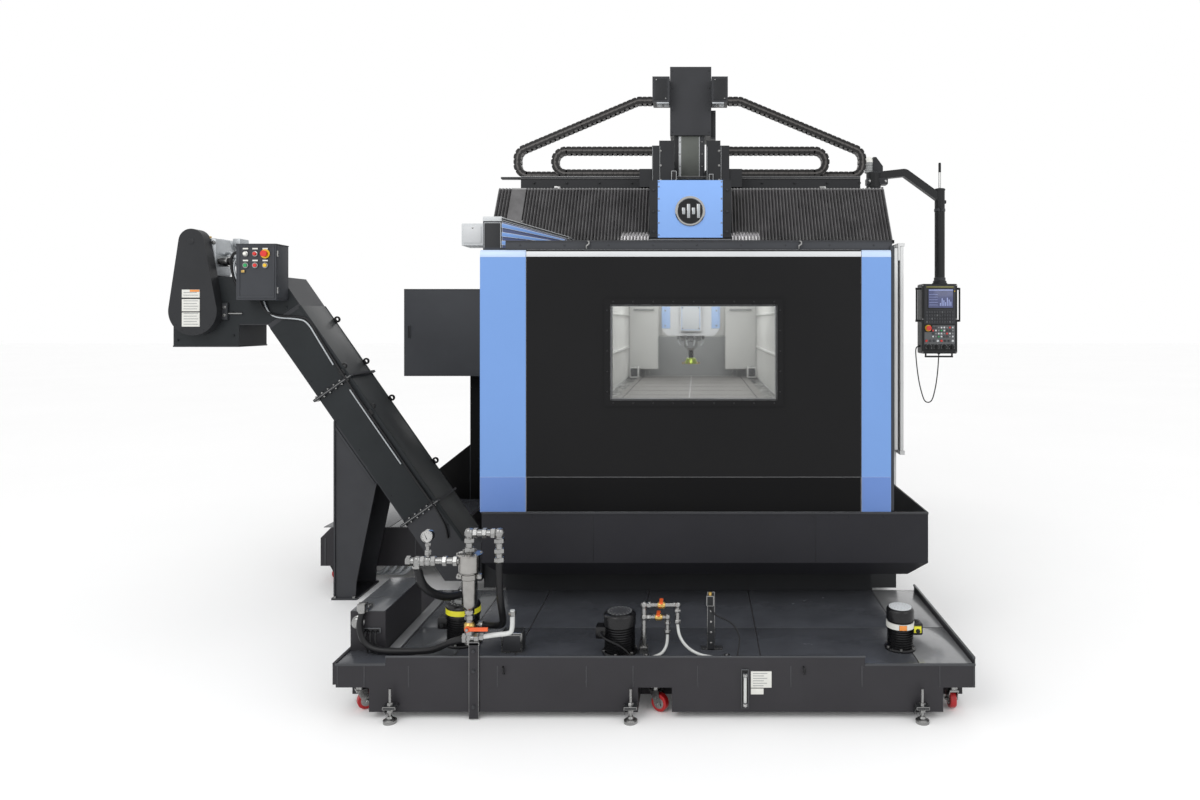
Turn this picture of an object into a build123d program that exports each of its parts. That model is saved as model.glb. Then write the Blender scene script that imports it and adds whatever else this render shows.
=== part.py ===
from build123d import *
from math import radians, tan
import os

os.makedirs("parts", exist_ok=True)

# Gantry machining centre with coolant tank, chip conveyor and operator pendant. Millimetres.
# In the working frame X runs right, Y runs back and Z runs up from the floor, with Y zero at the
# front face of the coolant tank. The finished parts move to an origin below the machine's middle.

# Coolant tanks
TANK_X = (-1626, 1252)
TANK_BACK_Y = 1000
TANK_Z = (32, 246)
TANK_WALL = 5
LIP_X = (-1400, 756)
LIP_HEIGHT = 35
NOTCH_X = ((-1626, -1476), (-266, -113), (1108, 1252))
NOTCH_TOP_Z = 142
NOTCH_BACK_Y = 175
CHANNEL_X = (-1624, -1460)
CHANNEL_Y = (150, 640)
CHANNEL_TOP_Z = 430
REAR_TANK_X = (-2590, -1640)
REAR_TANK_Y = (1905, 2800)
REAR_TANK_Z = (109, 371)

# Pumps (x, y, radius, top), filter and branch valves on the tank
LEFT_PUMP = (-1124, 250, 81, 440)
CENTRE_PUMP = (-360, 136, 75, 435)
RIGHT_PUMP = (960, 180, 64, 441)
FILTER_AXIS = (-1029, 20)
DRAIN_VALVE_Z = 410
OUTLET_Z = 832
INLET_Z = 706
BRANCH_RISER = (-246, 120)
UPPER_BRANCH_Z = 471
LOWER_BRANCH_Z = 415
UPPER_VALVE_X = -165
LOWER_VALVE_X = -178

# Feet and casters
FOOT_X = (-1370, -296, 1006)
FOOT_Y = -30
PAD_RADIUS = 30
PAD_HEIGHT = 12
STUD_RADIUS = 6
WHEEL_RADIUS = 40
WHEEL_WIDTH = 30
WHEEL_AXLE_Z = 42
WHEEL_TRAIL = 24
AXLE_RADIUS = 6
AXLE_CLEARANCE = 0.05
FRONT_CASTERS = {"left": (-1550, 88, 35), "centre": (-190, 88, -30), "right": (1180, 88, 90)}
REAR_CASTER = (-2516, 1960)

# Machine body and table
BODY_X = (-1385, 1295)
BODY_Y = (1600, 4960)
BASE_TOP_Z = 400
WALL_TOP_Z = 2180
CHAMBER_X = (-725, 635)
TABLE_X = (-610, 520)
TABLE_Y = (1300, 4860)
TABLE_Z = (1095, 1215)
SLOT_WIDTH = 22
SLOT_DEPTH = 40
SLOT_PITCH = 400
SLOT_COUNT = 9
DOORWAY_Y = (1750, 2450)
DOORWAY_Z = (1000, 2050)
DOOR_X = (1297, 1317)
DOOR_Y = (1500, 2560)
DOOR_Z = (968, 2268)

HANDLE_AXIS = (1345, 2500)
RAIL_X = (-1060, 970)

# Cabinet on the left with its stand, lubrication unit and left post
CABINET_X = (-2270, -1385)
CABINET_Y = (2600, 3500)
CABINET_Z = (1368, 2043)
STAND_X = -1840
STAND_Y = (2900, 2990)
LUBRICATOR_X = (-1563, -1418)
LUBRICATOR_Y = (1720, 1900)
LUBRICATOR_Z = (2297, 2440)
LEFT_POST_X = (-1297, -1183)
LEFT_POST_Y = (1250, 1400)
LEFT_POST_TOP_Z = 2424

# Front enclosure and drip pan
FRONT_Y = 720
ENCLOSURE_Z = (761, 2176)
LEFT_PILLAR_X = (-1172, -923)
RIGHT_PILLAR_X = (888, 1048)
PILLAR_DEPTH = 180
PILLAR_CORNER = 22
WINDOW_X = (-467, 432)
WINDOW_Z = (1366, 1879)
WINDOW_RIM = 34
ROOF_TOP_Z = 2196
HEADER_X = (-1040, 1060)
HEADER_TOP_Z = 2228
PANEL_DEPTH = 40
PAN_X = (-1161, 1247)
PAN_TOP_Z = 758
PAN_FOLD_Z = 488
PAN_BOTTOM_Z = 400
PAN_WALL = 6

# Bridge, saddle, ram and spindle
BRIDGE_X = (-1358, 1281)
BRIDGE_Z = (2320, 2700)
BRIDGE_LEAN = 250
BELLOWS_Y = 1600
BELLOWS_DEPTH = 38
FRONT_BEAM_BACK_Y = 2232
REAR_BEAM_Y = (2568, 2930)
SADDLE_X = (-308, 222)
SADDLE_FRONT_Y = 1584
SADDLE_SLAB_TOP_Z = 2704
SHELF_X = (-1245, 1155)
SHELF_Y = (2055, 2225)
SHELF_TOP_Z = 2812
RAM_X = (-168, 57)
RAM_Y = (2277, 2523)
RAM_Z = (1912, 3152)
RAM_TOP_Z = 3657
SPINDLE_X = -45
SPINDLE_Y = 2400
HEAD_X = (-255, 165)
HEAD_Z = (1686, 2000)
FLANGE_LOW_Z = 1650
NOSE_LOW_Z = 1595
TOOL_Z = (1470, 1518, 1580, 1594.5)
TRUCK_X = ((-1240, -880), (790, 1150))

# Cable chains, each folded back on the shelf
CHAIN_HEIGHT = 54
CHAIN_LOW_Z = 2842
INNER_CHAIN_Y = (2065, 2130)
INNER_CHAIN_TOP_Z = 3003
INNER_CHAIN_LOOP_X = (-1007, 913)
OUTER_CHAIN_Y = (2148, 2212)
OUTER_CHAIN_BEND_Z = 3013
OUTER_CHAIN_TOP_Z = 3380
OUTER_CHAIN_LOOP_X = (-1292, 1191)
OUTER_CHAIN_KNEE_X = (-426, 313)
CHAIN_BOX_X = ((-320, -197), (105, 222))
CHAIN_BOX_Z = (3366, 3551)

# Chip conveyor: its incline runs up to the left
CONVEYOR_Y = (1550, 1885)
CONVEYOR_TILT = 55
COLLARS = ((-2337, 1365), (-1780, 560))
COLLAR_SIZE = (14, 364, 305)
GEARBOX_X = (-3290, -3095)
GEARBOX_Z = (2080, 2345)
MOTOR_AXIS = (-3195, 2258)
MOTOR_RADIUS = 84
GUARD_Y = (1470, 1549)
CHAIN_SPROCKETS = ((-3207, 2299, 80), (-3198, 1856, 154))
BOX_X = (-2880, -2630)
BOX_Z = (1925, 2274)
BOX_FRONT_Y = 1400
BUTTON_Z = 2141
BUTTON_X = {"green": -2819, "red": -2759, "yellow": -2696}
BUTTON_RADIUS = 11
LAMP_Z = 2213
LAMP_X = (-2819, -2759)
STOP_X = -2696
SOCKET_DEPTH = 8
SOCKET_CLEARANCE = 0.3

# Pendant on its swinging arm
ARM_PIVOT = (1430, 2880)
TUBE_AXIS = (1966, 2880)
PENDANT_X = (1803, 2089)
PENDANT_Y = (2820, 2940)
PENDANT_Z = (1533, 2093)
PENDANT_STOP = (1856, 1738)
KNOB_X = (1861, 1921, 1984, 2045)
KNOB_Z = 1585
GRIP_RADIUS = 7
LOW_GRIP_Z = 1508
ARM_BEND = (1680, 2994)
TUBE_Z = (2118, 2860)

# Hoses and cables: radius, then the route that each one follows
CORDS = {
    "suction_hose": (15, [
        (-1560, 130, 432), (-1572, 126, 389), (-1567, 121, 344), (-1547, 114, 304),
        (-1513, 107, 278), (-1462, 101, 267), (-1385, 96, 266), (-1290, 92, 266),
        (-1210, 78, 279), (-1150, 52, 313), (-1108, 32, 340), (-1060, 20, 354)]),
    "filter_hose": (16, [
        (-894, 20, 700), (-894, 20, 620), (-894, 35, 530), (-896, 80, 450),
        (-905, 140, 385), (-930, 195, 348), (-972, 235, 333), (-1030, 250, 330)]),
    "manifold_hose": (19, [
        (-1265, 20, 672), (-1257, 30, 612), (-1235, 66, 556), (-1200, 120, 514),
        (-1160, 178, 488), (-1127, 240, 483)]),
    "left_valve_hose": (7, [
        (-137, 120, 338), (-137, 118, 312), (-142, 110, 283), (-158, 90, 262),
        (-182, 65, 257.5), (-215, 42, 257.5)]),
    "right_valve_hose": (7, [
        (-90, 120, 385), (-88, 118, 350), (-72, 108, 312), (-40, 92, 280),
        (5, 72, 262), (60, 52, 257.5), (120, 40, 257.5)]),
    "sensor_cable": (3.5, [
        (62, 150, 455), (65, 149, 438), (80, 147, 420), (105, 142, 406), (140, 136, 395),
        (172, 128, 375), (192, 118, 345), (198, 106, 312), (192, 92, 280), (186, 78, 254)]),
    "pump_cable": (4, [
        (-446, 106, 350), (-443, 84, 346), (-425, 64, 338), (-395, 52, 328), (-360, 48, 314),
        (-328, 46, 293), (-306, 45, 268), (-294, 45, 254)]),
    "pendant_cord": (4.5, [
        (1803, 2880, 1592), (1786, 2880, 1590), (1772, 2880, 1572), (1772, 2880, 1530),
        (1779, 2880, 1450), (1788, 2880, 1370), (1801, 2880, 1290), (1817, 2880, 1225),
        (1834, 2880, 1168), (1849, 2880, 1143), (1872, 2880, 1134), (1895, 2880, 1143),
        (1910, 2880, 1168), (1925, 2880, 1225), (1938, 2880, 1290), (1948, 2880, 1370),
        (1955, 2880, 1450), (1959, 2880, 1533)]),
}
CORD_BEND_SHARE = 0.45


def block(x, y, z):
    """A box between two limits on each axis."""
    solid = Box(x[1] - x[0], y[1] - y[0], z[1] - z[0])
    return Pos((x[0] + x[1]) / 2, (y[0] + y[1]) / 2, (z[0] + z[1]) / 2) * solid


def rod_x(x, y, z, radius):
    return Pos((x[0] + x[1]) / 2, y, z) * Rot(0, 90, 0) * Cylinder(radius, x[1] - x[0])


def rod_y(x, y, z, radius):
    return Pos(x, (y[0] + y[1]) / 2, z) * Rot(90, 0, 0) * Cylinder(radius, y[1] - y[0])


def rod_z(x, y, z, radius):
    return Pos(x, y, (z[0] + z[1]) / 2) * Cylinder(radius, z[1] - z[0])


def front_profile(points, y):
    """A solid whose outline is in X and Z, between two Y planes."""
    face = Plane.XZ.offset(-y[1]) * make_face(Polyline(*points, close=True))
    return extrude(face, amount=y[1] - y[0])


def side_profile(points, x):
    """A solid whose outline is in Y and Z, between two X planes."""
    face = Plane.YZ.offset(x[0]) * make_face(Polyline(*points, close=True))
    return extrude(face, amount=x[1] - x[0])


def ribbon(points, width, y, radius):
    """A band of one width that follows a rounded path in X and Z, between two Y planes."""
    face = trace(FilletPolyline(*points, radius=radius), line_width=width)
    return extrude(Plane.XZ.offset(-y[1]) * face, amount=y[1] - y[0])


def joined(solids):
    """One node made of several solids."""
    return Part() + list(solids)


# Coolant tanks and what stands on them

def front_tank():
    """Shallow sheet-metal tank with wheel recesses, a splash lip and a closed deck."""
    body = block(TANK_X, (0, TANK_BACK_Y), TANK_Z)
    for notch_x in NOTCH_X:
        body -= block(notch_x, (0, NOTCH_BACK_Y), (TANK_Z[0], NOTCH_TOP_Z))
    lip = block(LIP_X, (0, TANK_WALL), (TANK_Z[1], TANK_Z[1] + LIP_HEIGHT))
    right_rim = block((TANK_X[1] - TANK_WALL, TANK_X[1]), (0, TANK_BACK_Y), (TANK_Z[1], 275))
    left_flange = block((TANK_X[0] - 14, TANK_X[0]), (0, TANK_BACK_Y), (155, 252))
    channel = block(CHANNEL_X, CHANNEL_Y, (TANK_Z[1], CHANNEL_TOP_Z))
    return joined([body, lip, right_rim, left_flange, channel])


def rear_tank():
    """Second tank below the conveyor, with one sloping top corner and a fixed caster fork."""
    low, high = REAR_TANK_Z
    left, right = REAR_TANK_X
    outline = [(left, low), (right, low), (right, high), (left + 70, high), (left, high - 70)]
    caster_x, caster_y = REAR_CASTER
    fork = Pos(caster_x, caster_y, 0) * caster_yoke(REAR_TANK_Z[0])
    return joined([front_profile(outline, REAR_TANK_Y), fork])


def coolant_tank():
    return joined([front_tank(), rear_tank()])


def leveling_foot(x, y, top_z):
    pad = rod_z(x, y, (0, PAD_HEIGHT), PAD_RADIUS)
    stud = rod_z(x, y, (PAD_HEIGHT, top_z), STUD_RADIUS)
    return [pad, stud]


def leveling_feet():
    """Studs and pads: three on brackets in front of the tank, the others below the bodies."""
    solids = []
    for x in FOOT_X:
        solids += leveling_foot(x, FOOT_Y, 150)
        solids.append(block((x - 28, x + 28), (FOOT_Y - 14, 0), (62, 74)))
    for x in (-1500, -200, 1140):
        solids += leveling_foot(x, 900, TANK_Z[0])
    for x in (-2400, -1750):
        for y in (2020, 2700):
            solids += leveling_foot(x, y, REAR_TANK_Z[0])
    for caster_x, caster_y, angle in FRONT_CASTERS.values():
        plate = block((-38, 38), (-38, 38), (132, NOTCH_TOP_Z))
        solids.append(Pos(caster_x, caster_y, 0) * plate)
    return joined(solids)


def caster_yoke(top_z):
    """Two cheeks, their bridge and the axle, with the wheel's axle behind the swivel axis."""
    inner = WHEEL_WIDTH / 2 + 2
    yoke = rod_z(0, 0, (96, top_z), 20)
    yoke += block((-22, 26), (-inner - 4, inner + 4), (90, 98))
    for side in (-1, 1):
        cheek_y = sorted((side * inner, side * (inner + 4)))
        cheek = front_profile([(10, 30), (38, 30), (26, 98), (-22, 98)], cheek_y)
        yoke += cheek
    axle = rod_y(WHEEL_TRAIL, (-inner - 6, inner + 6), WHEEL_AXLE_Z, AXLE_RADIUS - AXLE_CLEARANCE)
    return yoke + axle


def caster_fork(x, y, angle):
    return Pos(x, y, 0) * Rot(0, 0, angle) * caster_yoke(131.5)


def caster_wheel(x, y, angle):
    wheel = rod_y(WHEEL_TRAIL, (-WHEEL_WIDTH / 2, WHEEL_WIDTH / 2), WHEEL_AXLE_Z, WHEEL_RADIUS)
    wheel = fillet(wheel.edges().filter_by(GeomType.CIRCLE), 5)
    wheel -= rod_y(WHEEL_TRAIL, (-WHEEL_WIDTH, WHEEL_WIDTH), WHEEL_AXLE_Z, AXLE_RADIUS)
    return Pos(x, y, 0) * Rot(0, 0, angle) * wheel


def pump(x, y, radius, top_z, box_side):
    """Upright immersion pump: foot flange, motor, fan cowl and a terminal box on one side."""
    deck = TANK_Z[1]
    solid = rod_z(x, y, (deck, deck + 14), radius + 8)
    solid += rod_z(x, y, (deck + 14, top_z - 55), radius - 4)
    solid += rod_z(x, y, (top_z - 55, top_z), radius)
    solid += rod_z(x, y, (top_z, top_z + 4), radius - 14)
    box_x = sorted((x + box_side * (radius - 12), x + box_side * (radius + 34)))
    return solid + block(box_x, (y - 30, y + 30), (deck + 72, deck + 128))


def left_pump():
    x, y, _, top_z = LEFT_PUMP
    motor = pump(*LEFT_PUMP, -1)
    inlet = rod_z(x, y, (top_z, top_z + 22), 40)
    elbow = block((x - 28, x + 26), (y - 10, y + 30), (top_z + 18, top_z + 68))
    port = rod_x((x + 64, x + 94), y, 330, 20)
    return motor + inlet + elbow + port


def centre_pump():
    return pump(*CENTRE_PUMP, -1)


def right_pump():
    return pump(*RIGHT_PUMP, 1)


def filter_housing():
    """Stainless filter: bowl, head and flange above its drain."""
    x, y = FILTER_AXIS
    solid = rod_z(x, y, (470, 486), 22)
    solid += Pos(x, y, 498) * Cone(20, 35, 24)
    solid += rod_z(x, y, (510, 658), 35)
    solid += rod_z(x, y, (658, 735), 49)
    solid += rod_z(x, y, (735, 741), 59)
    solid += block((x - 56, x + 56), (y - 8, y + 8), (628, 646))
    return solid


def filter_pipes():
    """Outlet elbow, inlet manifold with its gauge, ball valve body, tee and drain pipe."""
    x, y = FILTER_AXIS
    valve = rod_z(x, y, (385, 470), 19) + rod_y(x, (y - 32, y), DRAIN_VALVE_Z, 10)
    tee = rod_z(x, y, (330, 385), 18) + rod_x((x - 31, x + 35), y, 358, 17)
    drain = ribbon([(x + 35, 358), (-905, 373), (-835, 378), (-835, 484)], 24, (8, 32), 22)
    outlet = rod_z(x, y, (741, OUTLET_Z), 18) + rod_x((x - 20, -894), y, OUTLET_Z, 18)
    outlet += rod_z(-894, y, (700, 850), 19)
    inlet = rod_x((-1317, x - 49), y, INLET_Z, 20)
    inlet += rod_z(-1217, y, (INLET_Z, 792), 13) + rod_z(-1265, y, (672, INLET_Z), 21)
    gauge = rod_y(-1217, (y - 18, y + 14), 820, 28)
    return [valve + tee + drain, outlet, inlet + gauge]


def branch_pipes():
    """Riser with two tapped branches that feed the small hoses."""
    x, y = BRANCH_RISER
    high, low = UPPER_BRANCH_Z, LOWER_BRANCH_Z
    riser = rod_z(x, y, (262, high + 13), 13) + block((x - 20, x + 18), (y - 18, y + 18), (250, 284))
    upper = rod_x((x, -90), y, high, 11) + rod_z(-90, y, (385, high + 11), 11)
    lower = rod_x((x, -137), y, low, 11) + rod_z(-137, y, (338, low + 11), 11)
    stems = rod_z(UPPER_VALVE_X, y, (high, high + 21), 5)
    stems += rod_z(LOWER_VALVE_X, y, (low, low + 21), 5)
    return riser + upper + lower + stems


def coolant_pipework():
    """Rigid pipes with the parts that carry them: stay, couplings, gland blocks and float post."""
    stay = block((-1025, -980), (-9, 0), (3, 350)) + block((-1025, -980), (-9, 20), (335, 345))
    small_box = block((-912, -812), (120, 190), (TANK_Z[1], 340))
    coupling = rod_z(-1560, 130, (432, 456), 19) + block((-1580, -1540), (108, 151), (440, 478))
    coupling += block((-1580, -1540), (140, 210), (CHANNEL_TOP_Z, 450))
    left_gland = block((-245, -215), (22, 58), (TANK_Z[1], 272))
    right_gland = block((120, 150), (24, 56), (TANK_Z[1], 272))
    float_post = block((48, 84), (155, 161), (TANK_Z[1], 520)) + block((20, 120), (155, 195), (246, 252))
    float_post += block((44, 80), (146, 155), (455, 505))
    cable_glands = rod_z(186, 78, (TANK_Z[1], 254), 9) + rod_z(-294, 45, (TANK_Z[1], 254), 9)
    solids = filter_pipes() + [branch_pipes(), stay, small_box, coupling, left_gland, right_gland]
    return joined(solids + [float_post, cable_glands])


def filter_valve_lever():
    """Handle on the front of the drain valve's stem, lying to the right when shut."""
    x, z, front = FILTER_AXIS[0], DRAIN_VALVE_Z, -20
    hub = rod_y(x, (front, front + 8), z, 13)
    return hub + block((x, x + 92), (front, front + 8), (z - 8, z + 8))


def branch_lever(x, z):
    """Small handle on top of a branch valve's stem."""
    y = BRANCH_RISER[1]
    return rod_z(x, y, (z, z + 7), 9) + block((x - 8, x + 8), (y - 50, y), (z, z + 7))


# Machine body

def machine_bed():
    """Cast base with a raised bed that carries the table."""
    front = block((-1100, 1000), (1005, BODY_Y[0]), (60, BASE_TOP_Z - 20))
    main = block(BODY_X, BODY_Y, (60, BASE_TOP_Z))
    raised = block((-650, 560), (1250, 4880), (BASE_TOP_Z - 20, TABLE_Z[0]))
    bed = front + main + raised
    for x in (-1200, -400, 320, 1110):
        for y in (1750, 3280, 4810):
            bed += rod_z(x, y, (0, 60), 60)
    return bed


def side_walls():
    """Walls that carry the bridge's rails; the right one has the operator's doorway and its rails."""
    left = block((BODY_X[0], CHAMBER_X[0]), BODY_Y, (BASE_TOP_Z, WALL_TOP_Z))
    right = block((CHAMBER_X[1], BODY_X[1]), BODY_Y, (BASE_TOP_Z, WALL_TOP_Z))
    right -= block(CHAMBER_X[1:] + BODY_X[1:], DOORWAY_Y, DOORWAY_Z)
    rails = []
    for x in RAIL_X:
        rails.append(block((x - 22, x + 22), (1640, 4940), (WALL_TOP_Z, 2212)))
    rail_y = (DOOR_Y[0], 3420)
    rail_x = (BODY_X[1], 1325)
    top_z = DOOR_Z[1] + 22
    rails.append(block(rail_x, rail_y, (DOOR_Z[1] + 2, top_z)))
    rails.append(block((BODY_X[1] - 12, BODY_X[1]), rail_y, (WALL_TOP_Z, top_z)))
    rails.append(block(rail_x, rail_y, (DOOR_Z[0] - 28, DOOR_Z[0] - 2)))
    return joined([left, right] + rails)


def drip_pan():
    """Splash pan around the front of the base, folded inwards at its foot."""
    fold = PAN_FOLD_Z - PAN_BOTTOM_Z
    back = BODY_Y[0]
    front = FRONT_Y - 5
    solid = block(PAN_X, (front, back), (PAN_BOTTOM_Z, PAN_TOP_Z))
    inner_x = (PAN_X[0] + PAN_WALL, PAN_X[1] - PAN_WALL)
    solid -= block(inner_x, (front + PAN_WALL, back), (PAN_FOLD_Z, PAN_TOP_Z))
    wedge = [(front, PAN_BOTTOM_Z), (front + fold, PAN_BOTTOM_Z), (front, PAN_FOLD_Z)]
    solid -= side_profile(wedge, PAN_X)
    for side_x, inward in ((PAN_X[0], fold), (PAN_X[1], -fold)):
        corner = [(side_x, PAN_BOTTOM_Z), (side_x + inward, PAN_BOTTOM_Z), (side_x, PAN_FOLD_Z)]
        solid -= front_profile(corner, (front, back))
    solid -= block((-1000, 900), (1000, back), (PAN_BOTTOM_Z, PAN_FOLD_Z))
    return solid


def front_panel():
    """Front sheet with the window opening and a raised rim around it."""
    x = (LEFT_PILLAR_X[1], RIGHT_PILLAR_X[0])
    panel = block(x, (FRONT_Y, FRONT_Y + PANEL_DEPTH), ENCLOSURE_Z)
    rim_x = (WINDOW_X[0] - WINDOW_RIM, WINDOW_X[1] + WINDOW_RIM)
    rim_z = (WINDOW_Z[0] - WINDOW_RIM, WINDOW_Z[1] + WINDOW_RIM)
    panel += block(rim_x, (FRONT_Y - 8, FRONT_Y), rim_z)
    return panel - block(WINDOW_X, (FRONT_Y - 8, FRONT_Y + PANEL_DEPTH), WINDOW_Z)


def window_glass():
    return block(WINDOW_X, (FRONT_Y + 10, FRONT_Y + 22), WINDOW_Z)


def pillar(x):
    """Corner pillar with rounded front edges and a rounded top."""
    solid = block(x, (FRONT_Y, FRONT_Y + PILLAR_DEPTH), ENCLOSURE_Z)
    top_front = solid.edges().filter_by(Axis.X).sort_by(Axis.Z)[-2:].sort_by(Axis.Y)[0]
    return fillet(top_front, PILLAR_CORNER)


def front_pillars():
    return joined([pillar(LEFT_PILLAR_X), pillar(RIGHT_PILLAR_X)])


def work_table():
    """Table with T-slots across it."""
    table = block(TABLE_X, TABLE_Y, TABLE_Z)
    middle = (TABLE_Y[0] + TABLE_Y[1]) / 2
    for index in range(SLOT_COUNT):
        y = middle + (index - (SLOT_COUNT - 1) / 2) * SLOT_PITCH
        half = SLOT_WIDTH / 2
        slot_z = (TABLE_Z[1] - SLOT_DEPTH, TABLE_Z[1])
        table -= block(TABLE_X, (y - half, y + half), slot_z)
        table -= block(TABLE_X, (y - 2 * half, y + 2 * half), (slot_z[0], slot_z[0] + 18))
    return table


def rear_bulkhead():
    """Back wall of the chamber with a lower grey bulkhead before it."""
    low = block((-550, 425), (4865, 4960), (TABLE_Z[1] - 20, 1638))
    wall = block(CHAMBER_X, (4960, 4990), (BASE_TOP_Z, WALL_TOP_Z))
    return low + wall


def enclosure_covers():
    """Side sheets, roof, header rail, left post and the ribbed wedge beside the bridge."""
    sheets = [block((-1172, -1152), (FRONT_Y + PILLAR_DEPTH, BODY_Y[0]), ENCLOSURE_Z)]
    sheets.append(block((1048, 1068), (FRONT_Y + 15, BODY_Y[0]), (ENCLOSURE_Z[0], 2200)))
    sheets.append(block((-1172, 1048), (800, BODY_Y[0]), (ENCLOSURE_Z[1], ROOF_TOP_Z)))
    sheets.append(block(HEADER_X, (745, 800), (ENCLOSURE_Z[1], HEADER_TOP_Z)))
    sheets.append(block(LEFT_POST_X, LEFT_POST_Y, (1400, LEFT_POST_TOP_Z)))
    sheets.append(block((LEFT_POST_X[1], -1172), LEFT_POST_Y, (1400, 2100)))
    left, right = LEFT_POST_X[1], -775
    wedge = [(left, ROOF_TOP_Z), (right, ROOF_TOP_Z), (right, 2300), (left, LEFT_POST_TOP_Z - 6)]
    sheets.append(front_profile(wedge, (LEFT_POST_Y[0], 1560)))
    return sheets


def side_cabinets():
    """Closed cabinet on the left with its stand and brace, and the lubrication unit."""
    cabinet = block(CABINET_X, CABINET_Y, CABINET_Z)
    stand = block((STAND_X, CABINET_X[1]), STAND_Y, (0, CABINET_Z[0]))
    brace = front_profile([(-2104, 0), (STAND_X, 0), (STAND_X, 791), (-2104, 584)], STAND_Y)
    unit = block(LUBRICATOR_X, LUBRICATOR_Y, LUBRICATOR_Z)
    unit += block((LUBRICATOR_X[1], BODY_X[0]), (1760, 1860), (2060, 2360))
    return [cabinet + stand + brace, unit]


def pendant_stand():
    """Post on an outrigger from the right wall's top, for the pendant's arm."""
    x, y = ARM_PIVOT
    span_y = (y - 50, y + 50)
    post = block((x - 60, x + 60), span_y, (2320, 2870))
    outrigger = block((1284, x - 60), span_y, (2320, 2400))
    return [post + outrigger + block((1284, BODY_X[1]), span_y, (DOOR_Z[1] + 22, 2320))]


def body_covers():
    return joined(enclosure_covers() + side_cabinets() + pendant_stand())


def side_door():
    """Sliding door over the operator's doorway, with a handle."""
    door = block(DOOR_X, DOOR_Y, DOOR_Z)
    x, y = HANDLE_AXIS
    handle = rod_z(x, y, (1450, 1800), 12)
    for z in (1470, 1780):
        handle += rod_x((DOOR_X[1], x), y, z, 9)
    return door + handle


# Bridge, saddle, ram

def leaning(front_y, depth, x, z=BRIDGE_Z):
    """A slab that leans back with the bridge's front, between two X planes."""
    slope = BRIDGE_LEAN / (BRIDGE_Z[1] - BRIDGE_Z[0])
    low = front_y + (z[0] - BRIDGE_Z[0]) * slope
    high = front_y + (z[1] - BRIDGE_Z[0]) * slope
    points = [(low, z[0]), (low + depth, z[0]), (high + depth, z[1]), (high, z[1])]
    return side_profile(points, x)


def gantry_beam():
    """Two beams joined at their ends, on trucks, with the chain shelf on the front one."""
    low, high = BRIDGE_Z[0] + 5, BRIDGE_Z[1]
    face_y = BELLOWS_Y + BELLOWS_DEPTH + 6
    back_y = FRONT_BEAM_BACK_Y
    outline = [(face_y, low), (back_y, low), (back_y, high), (face_y + BRIDGE_LEAN, high)]
    beam = side_profile(outline, BRIDGE_X)
    beam += block(BRIDGE_X, REAR_BEAM_Y, (low, high))
    beam += block((BRIDGE_X[0], -1020), (back_y, REAR_BEAM_Y[0]), (low, high))
    beam += block((950, BRIDGE_X[1]), (back_y, REAR_BEAM_Y[0]), (low, high))
    for truck_x in TRUCK_X:
        beam += block(truck_x, (1720, 2900), (2214, low))
    beam += block(BRIDGE_X, (BELLOWS_Y - 8, 1760), (low - 27, low - 6))
    beam += block(BRIDGE_X, (face_y, 1760), (low - 6, low))
    beam += block(SHELF_X, SHELF_Y, (high, SHELF_TOP_Z))
    lug_y = (SHELF_Y[0], SHELF_Y[0] + 45)
    return beam + block((SHELF_X[0] - 141, SHELF_X[0]), lug_y, (SHELF_TOP_Z - 13, SHELF_TOP_Z))


def bridge_bellows():
    left = leaning(BELLOWS_Y, BELLOWS_DEPTH, (BRIDGE_X[0], SADDLE_X[0] - 1))
    right = leaning(BELLOWS_Y, BELLOWS_DEPTH, (SADDLE_X[1] + 1, BRIDGE_X[1]))
    return joined([left, right])


def cable_chains():
    """Inner chains to the saddle and outer chains to the ram's hood."""
    low = CHAIN_LOW_Z
    chains = []
    for end_x, loop_x in zip(SADDLE_X, INNER_CHAIN_LOOP_X):
        high = INNER_CHAIN_TOP_Z
        path = [(end_x, low), (loop_x, low), (loop_x, high), (end_x, high)]
        chains.append(ribbon(path, CHAIN_HEIGHT, INNER_CHAIN_Y, 78))
    end_xs = (CHAIN_BOX_X[0][0] - 1, CHAIN_BOX_X[1][1] + 1)
    for end_x, loop_x, knee_x in zip(end_xs, OUTER_CHAIN_LOOP_X, OUTER_CHAIN_KNEE_X):
        path = [(end_x, low), (loop_x, low), (loop_x, OUTER_CHAIN_BEND_Z)]
        path += [(knee_x, OUTER_CHAIN_TOP_Z), (end_x, OUTER_CHAIN_TOP_Z)]
        chains.append(ribbon(path, CHAIN_HEIGHT, OUTER_CHAIN_Y, 80))
    return joined(chains)


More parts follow.
